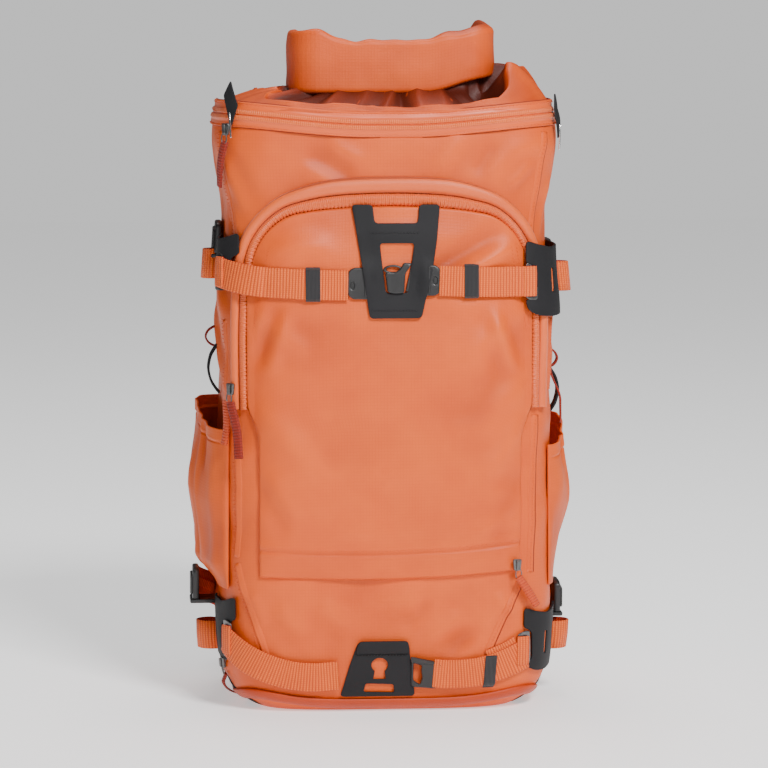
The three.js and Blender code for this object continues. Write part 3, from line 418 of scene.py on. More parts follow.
def ripstop(name, light, dark, roughness=0.47):
    """Coated ripstop: a fine thread grid, slow changes of tone, and painted shade that darkens the colour where the
    marked fold heights and hollows dip.
    """
    cloth = Finish(name, roughness, Specular_IOR_Level=0.32)
    place = cloth.place()
    u, v, _ = cloth.split(cloth.place("UV"))
    threads = cloth.waves(u, 0.0009) * cloth.waves(v, 0.0009)
    grid = (cloth.waves(u, 0.0027).math("POWER", 14.0) + cloth.waves(v, 0.0027).math("POWER", 14.0)).math("MINIMUM", 1.0)
    tone = cloth.noise(place, 9.0, 3.0) * 0.65 + cloth.noise(place, 60.0, 2.0) * 0.35
    # Painted shade: the 'relief' attribute pulls the colour towards the dark tone where folds dip and where hollows lie
    # in shade.
    painted_shade_dip = cloth.node("Attribute", {"attribute_name": "relief"}, output=2)
    mixed = cloth.blend((tone * 1.5 - 0.3 + painted_shade_dip * 0.3).limited(), (*dark, 1), (*light, 1))
    mixed = cloth.blend(grid * 0.09, mixed, (*[0.6 * part for part in dark], 1))
    # Painted shade: deep dips blend towards a near-black red-brown, in place of the shade in folds and under the roll.
    mixed = cloth.blend((painted_shade_dip * -0.16).limited() * 0.93, mixed, (0.045, 0.006, 0.003, 1))
    grain = threads * 0.4 + grid * 0.4 + cloth.noise(place, 900.0, 1.0) * 0.25
    gloss = cloth.noise(place, 14.0, 2.0) * 0.14 + (roughness - 0.07)
    return cloth.show(mixed, gloss, grain, depth=0.00014)


def mark_relief(piece, height):
    """Keeps a value for each point with the mesh, its fold height and any extra darkening, from which the finish paints
    shade.
    """
    layer = piece.data.attributes.new("relief", "FLOAT", "POINT")
    layer.data.foreach_set("value", np.asarray(height, np.float32))


def finish_piece(piece, material, slot, *nodes):
    """Gives a piece its material, lets it ride on the bag, and hides the CAD parts that it stands for."""
    piece.data.materials.clear()
    piece.data.materials.append(material)
    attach(piece, "root")
    if nodes:
        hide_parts(*nodes)
    return piece


body_cloth = ripstop("body_cloth", (0.816, 0.12, 0.0106), (0.649, 0.075, 0.0057))

columns = 320
around = np.linspace(-1, 1, columns + 1)
heights = np.concatenate([np.linspace(0.0, 24, 12), np.linspace(27, body_height, 176)])
rings = []
for share in (0.0, 0.35, 0.7, 0.9, 0.97):
    ring = bag_point(around * girth_at(0), 0, 0)
    middle = around_centre((0, 0, 0))
    rings.append(middle + (ring - middle) * share + (0, 0, 0.0006 * (1 - share)))
reliefs = [np.zeros(columns + 1)] * len(rings)
for z in heights:
    s = around * girth_at(z)
    reliefs.append(body_relief(s, z))
    rings.append(bag_point(s, z, reliefs[-1]))
inside_rows = (
    # height, distance out
    (506.0, -1.6), (505.6, -4.2), (500, -5.2), (470, -5.5), (380, -5.5), (250, -5.5), (120, -5.5), (30, -5.5), (8, -8),
)
rings += [bag_point(around * girth_at(min(z, body_height)), z, d) for z, d in inside_rows]
for share in (0.5, 0.0):
    rings.append(middle + (rings[-1] - middle) * share)
    rings[-1][:, 2] = 0.0075
reliefs += [np.zeros(columns + 1)] * (len(rings) - len(reliefs))
points = np.array(rings)
s_map = around[None, :] * 0.43 + np.zeros((len(points), 1))
bag_body = sheet_of("bag_body", points, np.stack([s_map, metric_uv(points)[:, :, 1]], axis=-1))


def relief_at(piece, points, reliefs):
    """Finds each merged vertex's painted-shade value (fold height and any extra darkening) again from the points that
    it came from.
    """
    table = {}
    for point, height in zip(np.round(points.reshape(-1, 3) * 1e5).astype(int).tolist(), np.ravel(reliefs).tolist()):
        table.setdefault(tuple(point), height)
    mark_relief(piece, [table.get(tuple(key), 0.0) for key in np.round(points_of(piece) * 1e5).astype(int).tolist()])


# Painted shade: the body's fold heights, scaled down, darken its cloth where the folds dip.
relief_at(bag_body, points, 0.3 * np.array(reliefs))
finish_piece(bag_body, body_cloth, "orange_fabric", "main_shell")

# Base
# The foot of the bag: a rolled orange band that rises at the corners, and a black coated base panel
# that wraps up round the back corners, sewn in under the band.
band_middle, band_rise = 6.5, 8.0


def band_height(s):
    """The height of the band's middle, which rises where the foot turns its corners."""
    x, y, _ = np.moveaxis(bag_point(s, band_middle, 0), -1, 0)
    half, front, back, square = [np.interp(band_middle, levels, column) for column in level_shape]
    y = y / mm - body_centre[1]
    across = np.abs((x / mm - body_centre[0]) / half) ** (square / 2)
    along = np.abs(y / np.where(y < 0, front, back)) ** (square / 2)
    return band_middle + band_rise * np.sin(2 * np.arctan2(across, along)) ** 2


def ring_on_bag(name, profile, height_of, steps=360):
    """A closed strip right round the bag, from its profile of rise and distance out."""
    girth = girth_at(band_middle)
    s = np.linspace(-1, 1, steps + 1) * girth
    ups, outs = np.array([*profile, profile[0]]).T
    middle = height_of(s)
    scale = [girth_at(np.clip(middle + up, 0, None)) / girth for up in ups]
    return sheet_of(name, np.stack([bag_point(s * k, middle + up, out) for k, up, out in zip(scale, ups, outs)], axis=1))


base_band = ring_on_bag("base_band_roll", (
    (-4.9, 0.5), (-4.7, 2.2), (-3.6, 3.6), (-1.6, 4.2), (1.4, 4.2), (3.4, 3.7), (4.6, 2.6), (5.0, 1.5), (4.4, 0.3), (0, 0.2),
), band_height)
band_cloth = ripstop("band_cloth", (0.56, 0.058, 0.006), (0.40, 0.035, 0.004), 0.42)
finish_piece(base_band, band_cloth, "orange_fabric", "base_band")

coated_black = plain_finish(
    "coated_black", 0.58, (25.0, 3.0), (0.009, 0.009, 0.010), (0.019, 0.018, 0.020), 0.00012, (0.16, 0.56),
    ((1500.0, 2.0, 0.6), (300.0, 1.0, 0.4)), Specular_IOR_Level=0.22,
)

panel_start, panel_top = 119.0, 27.0
half_girth = girth_at(band_middle)
around_back = np.concatenate([np.linspace(panel_start, half_girth, 90), np.linspace(-half_girth, -panel_start, 90)])
panel_rows = []
for step in np.linspace(0, 1, 14):
    ease = smooth_step(np.abs(around_back), panel_start, panel_start + 40)
    z = 1.0 + (6 + (panel_top - 6) * ease) * step
    edge = 0.1 if step in (0.0, 1.0) else 1.1
    scale = girth_at(z) / half_girth
    panel_rows.append(bag_point(around_back * scale, z, edge + body_relief(around_back, z)))
finish_piece(sheet_of("base_panel", np.array(panel_rows)), coated_black, "black_patch")


def lift_at(lift, s, z):
    """A height above the skin, given as a number or as a function of s and z."""
    return lift(s, z) if callable(lift) else np.full(np.shape(s), float(lift))


def strip_on_bag(name, route, profile, lift, profile_at=None, flat_ends=True):
    """A closed strip along a route of s and z, from a profile of across, height and place in the map."""
    route = np.asarray(route, float)
    run, length = run_of(route), lengths(route)
    shape = np.array([*profile, profile[0]], float)
    if shape.shape[1] == 2:
        shape = shape[:, (0, 1, 0)]
    here = np.array([profile_at(at, s, z, shape) if profile_at else shape for at, (s, z) in zip(length, route)])
    s, z, h = route[:, :1] + run[:, 1:] * here[..., 0], route[:, 1:] - run[:, :1] * here[..., 0], here[..., 1]
    level = lift_at(lift, s, z)
    rows = [bag_point(s, z, level + h)]
    for row in (0, -1):
        end = np.array([s[row], z[row], level[row] + h[row].mean()])
        if not flat_ends:
            end = end.mean(axis=1, keepdims=True) + 0 * end
        rows.insert(len(rows) if row else 0, bag_point(*end)[None])
    uv = np.stack(np.broadcast_arrays(shape[:, 2] * mm, length[:, None] * mm), axis=-1)
    return sheet_of(name, np.concatenate(rows), np.concatenate([uv[:1], uv, uv[-1:]]))


def laid_along(piece, route, lift):
    """Bends a straight piece, modelled along X, so that it runs along a route on the bag."""
    route = np.asarray(route, float)
    run, length = run_of(route), lengths(route)
    x, y, h = (points_of(piece) / mm).T
    s, z, run_s, run_z = [np.interp(x, length, column) for column in (*route.T, *run.T)]
    s, z = s + run_z * y, z - run_s * y
    move_points(piece, bag_point(s, z, lift_at(lift, s, z) + h))


def joined(name, parts):
    """Several like parts as one piece."""
    bpy.ops.object.select_all(action="DESELECT")
    for part in parts:
        part.select_set(True)
    bpy.context.view_layer.objects.active = parts[0]
    bpy.ops.object.join()
    piece = bpy.context.object
    piece.name = piece.data.name = name
    return piece


def stitch_row(route, lift, pitch=3.2, long=1.15, wide=0.32):
    """One row of small thread stitches along a route."""
    bpy.ops.object.select_all(action="DESELECT")
    bpy.ops.mesh.primitive_uv_sphere_add(segments=6, ring_count=4, radius=1.0, rotation=(0, math.pi / 2, 0))
    stitch = bpy.context.object
    stitch.scale = (long * mm, wide * mm, wide * mm)
    bpy.ops.object.transform_apply(location=False, rotation=True, scale=False)
    stitch.scale = (long * mm, wide * mm, wide * mm)
    bpy.ops.object.transform_apply(location=False, rotation=False, scale=True)
    repeat = stitch.modifiers.new("repeat", "ARRAY")
    repeat.use_relative_offset, repeat.use_constant_offset = False, True
    repeat.constant_offset_displace = (pitch * mm, 0, 0)
    repeat.count = max(2, int(lengths(route)[-1] / pitch))
    bpy.ops.object.modifier_apply(modifier=repeat.name)
    bpy.ops.object.shade_smooth()
    laid_along(stitch, route, lift)
    return stitch


# Body seams
# Where the panels of the body meet, one edge is lapped over the other and topstitched, down both front
# corners, from the foot up to the pleat, and below the ends of the arch.
lap_profile = (
    (-6.0, -0.4), (-5.6, 0.15), (-3.4, 0.45), (-1.4, 0.95), (-0.5, 1.15), (0.1, 0.9), (0.35, 0.3), (0.4, -0.4),
)
body_seams = (
    ((-151, 487), (-149, 450), (-138, 402), (-136, 384)),
    ((124, 402), (131, 447), (136, 486)),
    ((-134, 250), (-131, 190), (-134, 132)),
    ((121, 118), (123, 180), (127, 250)),
    ((-133, 126), (-126, 102), (-110, 60), (-98, 22)),
    ((74, 22), (86, 54), (111, 108)),
    ((-150, 330), (-152, 270)), ((150, 270), (150, 330)),
)
seam_parts, thread_parts, shade_strip_parts = [], [], []


def painted_shade_line(points, lift, count=160, wide=0.5):
    """A narrow dark strip laid into a seam along a route, as painted shade."""
    shape = [(a * wide, h, a) for a, h in ((-1, -0.3), (-0.7, 0.5), (0.7, 0.5), (1, -0.3), (0, -0.4))]
    shade_strip_parts.append(strip_on_bag("painted_crease_shade", smooth_line(points, count), shape, lift))


for points in body_seams:
    points = np.array(points, float)
    count = int(lengths(points)[-1] / 2.5)
    seam_parts.append(strip_on_bag("seam", smooth_line(points, count), lap_profile, body_relief))
    # Painted shade: a thin dark strip beside each seam.
    painted_shade_line(points + (1.0, 0), body_relief)
    thread_parts.append(stitch_row(smooth_line(points - (2.4, 0), count), lambda s, z: body_relief(s, z) + 0.75))
finish_piece(joined("body_seams", seam_parts), body_cloth, "orange_fabric")

# Top zip
# A water-resistant coil zip in its own tape, sewn in right round the front and sides below the roll.
zip_span, zip_middle, zip_rise = 210.0, 493.0, 9.0
zip_route = np.array([(s, zip_middle + zip_rise * smooth_step(abs(s), 15, 150)) for s in np.linspace(-zip_span, zip_span, 190)])


def both_halves(half, *under):
    """A profile made of its left half and the mirror image of that, closed underneath."""
    return [*half, *[(-row[0], row[1], *[-place for place in row[2:]]) for row in half[::-1]], *under]


zip_profile = both_halves((
    (-10.0, 0.1), (-9.7, 0.9), (-9.0, 1.15), (-7.0, 1.3), (-4.9, 1.4), (-4.3, 2.2), (-3.2, 2.8), (-1.5, 2.75), (-0.6, 2.3),
    (-0.25, 1.2),
), (6, -0.1), (0, -0.1), (-6, -0.1))


def zip_lift(s, z):
    return 0.6 + ripple(s, z, 40, 0.25, 21)


top_tape = Finish("top_zip_tape", 0.4, Sheen_Weight=0.1)
u, v, _ = top_tape.split(top_tape.place("UV"))
on_coil = (u.math("ABSOLUTE") - 0.0024).math("ABSOLUTE").math("LESS_THAN", 0.0018)
ticks = top_tape.waves(v, 0.0017).math("POWER", 2.0)
tone = top_tape.noise(top_tape.place(), 30.0, 2.0)
paint = top_tape.blend(tone, (0.714, 0.0842, 0.00678, 1), (0.822, 0.118, 0.0104, 1))
paint = top_tape.blend(on_coil * (1 - ticks) * 0.45, paint, (0.93, 0.191, 0.0224, 1))
paint = top_tape.blend(on_coil * ticks * 0.35, paint, (0.562, 0.0638, 0.00519, 1))
top_tape.show(paint, tone * 0.15 + 0.34, on_coil * (1 - ticks), 0.0003)
finish_piece(strip_on_bag("top_zip", zip_route, zip_profile, zip_lift), top_tape.material, "orange_zip", "top_zip_band")
for offset in (-8.6, 8.6):
    thread_parts.append(stitch_row(zip_route + (0, offset), lambda s, z: zip_lift(s, z) + 1.15))
zip_lap = [(-a * 0.8, h * 1.5, -a) for a, h in lap_profile]
finish_piece(joined("top_zip_laps", [
    strip_on_bag("lap", (zip_route + (0, 10.2 * turn))[::turn], zip_lap, zip_lift) for turn in (1, -1)
]), body_cloth, "orange_fabric")

# Neck
# Slack cloth between the body's lip and the rolled top, gathered in by hand, so that it stands up in
# ears beside the roll and sinks into sharp folds behind the lip.
roll_shift = 7.0
lip_shape = [np.interp(503.0, levels, column) for column in level_shape]


def roll_foot(turn):
    """Where the neck meets the roll: a narrow loop as wide as the roll, bent back with its ends."""
    x = 80.0 * np.sin(turn)
    half = np.sign(np.cos(turn)) * np.sqrt(np.abs(np.cos(turn))) * 5.0
    back = 24 - np.sqrt(np.clip(24**2 - np.clip(np.abs(x) - 55, 0, 24) ** 2, 0, None))
    return x + roll_shift, -46 + np.minimum(back, 14) - half


def through_rows(control, count):
    """A smooth surface through a few rows of points."""
    p = np.concatenate([2 * control[:1] - control[1:2], control, 2 * control[-1:] - control[-2:-1]])
    place = np.linspace(0, len(control) - 1, count)
    k = np.minimum(place.astype(int), len(control) - 2)
    t = (place - k)[:, None, None]
    return curve_between(*[p[k + ahead] for ahead in range(4)], t)


def thicken(piece, thickness, offset):
    """Gives a sheet its two faces."""
    bpy.ops.object.select_all(action="DESELECT")
    piece.select_set(True)
    bpy.context.view_layer.objects.active = piece
    wall = piece.modifiers.new("wall", "SOLIDIFY")
    wall.thickness, wall.offset = thickness, offset
    bpy.ops.object.modifier_apply(modifier=wall.name)


neck_columns, neck_rows = 540, 46
neck_turn = np.linspace(-math.pi, math.pi, neck_columns + 1)
degrees = np.degrees(neck_turn)
crest_table = np.array([
    # direction, share of the way in, height
    (-180, 0.10, 513), (-140, 0.12, 514), (-118, 0.26, 516), (-100, 0.56, 521), (-84, 0.70, 522), (-68, 0.68, 521),
    (-59, 0.46, 518), (-52, 0.22, 515), (-40, 0.06, 512), (-24, 0.05, 509), (0, 0.05, 507), (22, 0.05, 508), (34, 0.06, 511),
    (44, 0.12, 515), (50, 0.26, 525), (55, 0.44, 538), (60, 0.52, 544), (68, 0.50, 543), (78, 0.42, 541),
    (90, 0.34, 537), (104, 0.24, 529), (120, 0.16, 521), (140, 0.12, 514), (180, 0.10, 513),
])
crest_in, crest_z = [np.interp(degrees, crest_table[:, 0], column) for column in crest_table.T[1:]]
hollow_in = np.minimum(crest_in + 0.30, 0.84)
sunk = np.interp(degrees, (-112, -98, -70, -58, -44, 40, 50, 66, 74, 84, 110), (3, 0, -1, 6, 3, 3, 13, 20, 12, 2, 4))
hollow_z = crest_z - sunk + 2.5 * np.sin(neck_turn * 5)
lip_x, lip_y, out_x, out_y = section_point(neck_turn, *lip_shape)
foot_x, foot_y = roll_foot(neck_turn)
foot_rise = smooth_step(foot_x, 28, 84)


def neck_row(inward, z, out=0.0):
    return np.stack([
        (lip_x + out * out_x) * (1 - inward) + foot_x * inward, (lip_y + out * out_y) * (1 - inward) + foot_y * inward,
        np.zeros_like(lip_x) + z,
    ], axis=-1)


control = np.array([
    neck_row(0.0, 500.5, 1.4), neck_row(0.0, 505.0, 1.6), neck_row(crest_in * 0.45, 0.42 * 505 + 0.58 * crest_z, 0.6),
    neck_row(crest_in, crest_z), neck_row(crest_in + 0.07, crest_z - 3.5), neck_row(hollow_in, hollow_z),
    neck_row(0.92, np.maximum(519.0, hollow_z - 2) + 4 * foot_rise), neck_row(0.99, 527.0 + 15 * foot_rise),
])
neck = through_rows(control, neck_rows + 1)
chance = np.random.default_rng(12)
share = np.linspace(0, 1, neck_rows + 1)[:, None]
neck_lift = np.zeros(neck.shape[:2])
neck_creases = [(a, chance.uniform(3.5, 7.5), chance.uniform(-26, 26), chance.choice([-1, 1]) * chance.uniform(2.5, 5.5))
                for a in np.linspace(-176, 176, 34) + chance.uniform(-4, 4, 34)]
neck_creases += [(51, 4.0, 6, -11.0), (73, 5.0, -14, -9.0), (-50, 5.0, -8, -7.0), (-74, 5.0, 8, -5.0), (84, 5.0, 8, 4.0)]
for angle, wide, slant, high in neck_creases:
    away = np.abs((degrees[None, :] - angle - slant * (share - 0.6) + 180) % 360 - 180) / wide
    neck_lift += high * np.exp(-(away**1.25)) * np.sin(math.pi * np.clip((share - 0.42) / 0.58, 0, 1)) ** 0.7
neck_lift += 0.7 * np.sin(degrees[None, :] * 0.31 + 4 * share) * np.sin(math.pi * np.clip(share / 0.6, 0, 1))
outer_fold = np.exp(-(((degrees[None, :] - 77 + 26 * (share - 0.25)) / 5.5) ** 2)) * np.sin(math.pi * np.clip(share / 0.43, 0, 1))
neck_lift -= 7.5 * outer_fold
neck += neck_lift[..., None] * np.stack([0.35 * np.sin(neck_turn), -0.35 * np.cos(neck_turn), 0 * neck_turn + 1], axis=-1)
neck[:, -1] = neck[:, 0]
points = around_centre(neck)
# Painted shade: how far the cloth sinks below the crest, and how far it runs in under the roll, darken the neck's
# colour there.
shade_below_crest = np.clip(crest_z + 1 - neck[:, :, 2], 0, 14) * smooth_step(share, 0.46, 0.56)
neck_sheet = sheet_of("neck_cloth", points)
relief_at(neck_sheet, points, 0.5 * (neck_lift - 1.2 * shade_below_crest - 13.0 * smooth_step(share, 0.5, 0.74)))
thicken(neck_sheet, 0.0012, -1)
# Its dark tone is much darker than the body's. The painted shade in the hollows pulls the colour towards it.
neck_cloth = ripstop("neck_cloth", (0.789, 0.109, 0.00936), (0.454, 0.0454, 0.00346))
finish_piece(neck_sheet, neck_cloth, "orange_fabric", "neck_gather")

# Rolled top
# The same cloth rolled down on itself into a flat band, with both ends turned back and clipped behind.
# Its front face is smooth and taut, and its top edge sags a little between the ends.
roll_middle = 541.5
roll_route = smooth_line([
    (-76, 28), (-77, 2), (-77, -24), (-75, -39), (-67, -46.5), (-48, -48), (0, -48), (46, -48), (66, -46.5),
    (74, -39), (76.5, -24), (77, 2), (76, 28),
], 260)
roll_turns = smooth_line([
    # out, up
    (0.5, -12), (0.8, 0), (1.2, 11), (3.6, 14.6), (5.9, 10), (6.3, 0), (5.6, -12), (2.4, -17.2), (-2.6, -15), (-4.6, -5),
    (-4.8, 7), (-3.4, 16), (1.6, 21.6), (6.6, 22.0), (9.6, 20.2), (10.0, 14), (10.2, 0), (10.1, -14),
    (9.7, -21.4), (6.4, -23.2), (0.6, -23.4),
    (-5.4, -20.6), (-8.6, -10), (-9.0, 2),
], 110)
run = run_of(roll_route)
x_along, y_along = roll_route[:, :1], roll_route[:, 1:]
out, up = roll_turns[None, :, 0], roll_turns[None, :, 1]
high = up / 22
behind = smooth_step(y_along, -38, 20)
sag = -2.2 * np.exp(-(((x_along + 4) / 50) ** 2)) * np.clip(high, 0, 1)
raised = (8.6 + 5.4 * np.clip(-high, 0, 1)) * smooth_step(x_along, 22, 84)
raised = raised + 6.0 * smooth_step(-x_along, 44, 64) * np.clip(high + 0.35, 0, 1.1)
raised += behind * np.where(x_along > 0, 3.0, 1.0)
inner_layer = smooth_step(x_along, 26, 52) * np.clip(high, 0, 1) ** 2 * smooth_step(-out, -8.5, 0)
raised += 4.0 * inner_layer
wave = ripple(x_along * 1.1, up * 2.5, 60, 0.45, 31) + ripple(x_along, up, 21, 0.12, 33)
top_edge = ripple(x_along, 0 * up, 30, 1.1, 35) * np.clip(high, 0, 1) ** 4
slack = 0.5 + 0.5 * smooth_step(np.abs(x_along), 40, 78) + 0.8 * behind
out_here = out + wave * slack * (out > 4) + 1.2 * wave * (out < -2)
roll_points = np.stack([
    x_along + run[:, 1:] * out_here + roll_shift,
    y_along - run[:, :1] * out_here,
    roll_middle + up + sag + raised + top_edge,
], axis=-1)
points = around_centre(roll_points)
roll_sheet = sheet_of("roll_cloth", points)
# The whole roll is made a little darker all over. The inner layer showing above its top edge is darkened much more, as
# painted shade behind the front face.
relief_at(roll_sheet, points, wave * 0.3 - 0.4 - 3.2 * inner_layer)
thicken(roll_sheet, 0.0013, 0)
roll_cloth = ripstop("roll_cloth", (0.822, 0.123, 0.0112), (0.649, 0.0725, 0.00562))
finish_piece(roll_sheet, roll_cloth, "orange_fabric", "roll_collar")

# Arch
# The storm flap over the front zip: a smooth padded roll, a groove, and a second roll of zip tape whose
# inner edge is puckered by its stitching. Both run down the sides as narrow ribbed tubes.
arch_half, arch_low, arch_high = 127.0, 257.0, 438.0
arch_points = (
    # share of the half width, share of the height
    (0, 1), (0.32, 0.992), (0.54, 0.967), (0.71, 0.925), (0.85, 0.838), (0.94, 0.722), (0.985, 0.56), (1, 0.36), (1, 0.18),
    (0.995, 0),
)
arch_right = np.array([(s * arch_half, arch_low + z * (arch_high - arch_low)) for s, z in arch_points])
arch_route = smooth_line(np.vstack([(arch_right * (-1, 1))[:0:-1], arch_right]), 640)
arch_profile = (
    (-12.0, -0.3), (-12.3, 1.8), (-11.2, 4.2), (-8.6, 5.9), (-5.6, 6.3), (-2.6, 5.7), (-0.6, 4.4), (0.7, 2.2), (1.2, 0.4),
    (1.7, 2.0), (3.2, 3.7), (5.6, 4.4), (8.4, 4.1), (10.6, 3.1), (11.8, 1.8), (12.1, 0.4), (11.4, -0.3), (0, -0.4),
)


def arch_width(s):
    return 7.5 + 4.5 * (1 - smooth_step(np.abs(s), arch_half * 0.3, arch_half * 0.92))


def arch_shape(length, s, z, shape):
    """The flap's profile here: narrower down the sides, with puckers along its inner edge."""
    scale = arch_width(s) / 12
    across, high, place = shape.T
    pucker = np.clip((across - 5) / 6, 0, 1) * (high > 0.3)
    wave = length * 2 * math.pi / 3.3
    new_across = across * scale + pucker * 0.5 * math.sin(wave + 1.3) + 0.6 * math.sin(length / 31) * (high > 3)
    new_high = high * (0.80 + 0.20 * scale) + pucker * 0.38 * math.sin(wave + 0.8 * math.sin(length / 9))
    return np.stack([new_across, new_high + 0.5 * math.sin(length / 23 + 1) * np.clip(high / 6, 0, 1), place], axis=1)


arch_tape = Finish("arch_flap_cloth", 0.42, Sheen_Weight=0.15)
u, v, _ = arch_tape.split(arch_tape.place("UV"))
ribbed = u.math("GREATER_THAN", 0.0013)
ribs = arch_tape.waves(v, 0.0016)
tone = arch_tape.noise(arch_tape.place(), 24.0, 3.0)
threads = arch_tape.waves(u, 0.0011) * arch_tape.waves(v, 0.0011)
paint = arch_tape.blend(tone, (0.714, 0.0909, 0.00762, 1), (0.854, 0.132, 0.0125, 1))
paint = arch_tape.blend(ribbed * (1 - ribs) * 0.30, paint, (0.541, 0.0545, 0.00431, 1))
# Painted shade: the groove between the two rolls and both outer edges of the flap are darkened, in place of the shade
# in these creases.
painted_crease_shade = ((u - 0.0012).math("ABSOLUTE").math("LESS_THAN", 0.0007) + u.math("LESS_THAN", -0.0108)
          + u.math("GREATER_THAN", 0.0117)).math("MINIMUM", 1.0)
paint = arch_tape.blend(painted_crease_shade * 0.6, paint, (0.20, 0.018, 0.004, 1))
arch_tape.show(paint, tone * 0.14 + 0.36, ribbed * ribs + (1 - ribbed) * threads * 0.3, 0.00035)
arch_flap = strip_on_bag("arch_rolls", arch_route, arch_profile, 0.7, arch_shape, flat_ends=False)
finish_piece(arch_flap, arch_tape.material, "orange_zip", "arch_flap")

# Painted shade: thin dark strips along the seams above and below the zip.
for offset in (-10.7, 10.7):
    painted_shade_line(zip_route[::6] + (0, offset), 0.25, 190)
# The strips' dark colour is painted shade for the seams.
seam_shade = plain_finish("painted_seam_shade", 0.8, (160.0, 2.0), (0.16, 0.012, 0.003), (0.30, 0.028, 0.006), 0.00005)
finish_piece(joined("painted_shade_lines", shade_strip_parts), seam_shade, "orange_fabric")

# Front panel
# The opening front of the bag: a domed cloth panel that ends in a pleat at its foot and is sewn in along
# the arch. It sags into long soft folds towards its right edge and is pinched where the straps cross it.
panel_low, panel_side, panel_dome = 113.0, 112.0, 8.0
inside_gap = arch_width(arch_route[:, 0]) + 0.2
inner_edge = arch_route + run_of(arch_route)[:, ::-1] * (1, -1) * inside_gap[:, None]
top_half = inner_edge[len(inner_edge) // 2:]
top_half = top_half[: np.argmax(top_half[:, 0])]
panel_folds = [
    # s, z to s, z, half width, height
    (30, 370, 92, 406, 9, -2.2), (48, 362, 104, 396, 8, 1.9), (92, 342, 112, 292, 7, -1.5), (84, 344, 102, 286, 7, 1.6),
    (62, 296, 108, 344, 10, 1.5), (56, 246, 106, 300, 11, -1.4), (76, 196, 110, 252, 9, 1.5), (84, 148, 112, 206, 8, -1.5),
    (60, 146, 104, 170, 8, 1.1), (-40, 330, 10, 344, 12, 1.0), (-92, 342, -112, 292, 7, -1.3), (-84, 344, -100, 286, 7, 1.3),
    (-70, 300, -110, 340, 9, 1.2), (-60, 200, -108, 262, 11, 1.3), (-84, 150, -112, 200, 8, -1.3), (-50, 396, -100, 392, 9, 1.2),
    (-20, 200, 40, 214, 16, 0.9), (-50, 160, 0, 152, 12, 0.8), (20, 270, 60, 250, 16, -0.8), (-20, 400, 20, 404, 9, 1.2),
]


def pleat_height(s):
    """The height of the seam above the panel's foot, which dips in the middle."""
    return 136.0 + 0.00048 * s**2 + 0.02 * s


def panel_out(s, z):
    """Height of the front panel's outside above the skin."""
    across = 1 - np.minimum(np.abs(s) / panel_side, 1) ** 4
    return 3.8 + panel_dome * across * (1 - np.minimum(np.abs(z - 275.5) / 162.5, 1) ** 4)


def panel_relief(s, z):
    calm = 1 - smooth_step(np.abs(s), 104, 119) * 0.7
    strap = np.exp(-(((z - 363) / 11) ** 2)) * smooth_step(np.abs(s), 36, 60)
    over_seam = z - pleat_height(s)
    seam = 0.7 * np.exp(-(((over_seam - 5) / 3.5) ** 2)) - 1.1 * np.exp(-((over_seam / 1.6) ** 2))
    height = 1.5 * folds(s, z, panel_folds) + ripple(s, z, 105, 1.2, 41) + ripple(s, z, 34, 0.25, 42)
    return (height * (1 - 0.6 * strap) - 1.3 * strap) * calm + seam * (z < 180)


panel_columns, panel_rows, foot_half = 300, 380, 109
c = np.linspace(-1, 1, panel_columns + 1)
r = np.linspace(0, 1, panel_rows + 1)[:, None]
widest = top_half[-1, 0]
top_z = np.interp(np.abs(c) * widest, top_half[:, 0], top_half[:, 1])
low_z = panel_low + 2.0 + 0.00035 * (c * foot_half) ** 2 + 2.0 * c
z = low_z + r * (top_z - low_z)
s = c * (foot_half + (widest - foot_half) * smooth_step(z, 236, 262))
height = panel_relief(s, z)
edge = np.minimum(np.minimum((1 - np.abs(c)) * foot_half, z - low_z), top_z - z)
d = panel_out(s, z) + height - 1.6 * (1 - np.sqrt(1 - (1 - np.clip(edge / 2.2, 0, 1)) ** 2))
s, z, d, height = [np.pad(a, 1, mode="edge") for a in (s, z, d, height)]
d[0], d[-1], d[:, 0], d[:, -1] = 0.5, 0.4, 0.4, 0.4
points = bag_point(s, z, d)
panel_sheet = sheet_of("panel_cloth_front", points)
# Painted shade: the panel's fold heights, scaled down, darken its cloth where the folds dip.
relief_at(panel_sheet, points, height * 0.3)
panel_cloth = ripstop("front_panel_cloth", (0.822, 0.122, 0.0107), (0.66, 0.0762, 0.0059), 0.45)
finish_piece(panel_sheet, panel_cloth, "orange_fabric", "front_panel")


def on_panel(s, z):
    return panel_out(s, z) + panel_relief(s, z) + 0.05


for points, count in (
    ([(s, pleat_height(s) + 3.2) for s in np.linspace(-106, 106, 12)], 160), (((99, 392), (106, 360), (114, 318)), 60),
    (((103, 394), (110, 361), (116.5, 322)), 60), (((-99, 392), (-106, 360), (-114, 318)), 60),
):
    thread_parts.append(stitch_row(smooth_line(points, count), on_panel))
thread = plain_finish("sewing_thread", 0.6, (700.0, 1.0), (0.519, 0.0545, 0.00431), (0.714, 0.101, 0.00948), 0.0001)
finish_piece(joined("topstitching", thread_parts), thread, "orange_fabric")

# Tool patches
# Two patches of black coated cloth on the front, die-cut with windows and stitched on, which the straps
# pass behind.


def rounded(points, radius, steps=4):
    """An outline whose corners are rounded, none by more than its sides allow."""
    done = []
    p = np.asarray(points, float)
    for k, corner in enumerate(p):
        before, after = p[k - 1] - corner, p[(k + 1) % len(p)] - corner
        reach = min(radius, np.hypot(*before) / 2.2, np.hypot(*after) / 2.2)
        a, b = corner + before / np.hypot(*before) * reach, corner + after / np.hypot(*after) * reach
        done += [a * (1 - t) ** 2 + corner * 2 * t * (1 - t) + b * t**2 for t in np.linspace(0, 1, steps + 1)]
    return np.array(done)


def box(s0, s1, z0, z1, radius, steps=2):
    return rounded(((s0, z0), (s1, z0), (s1, z1), (s0, z1)), radius, steps)


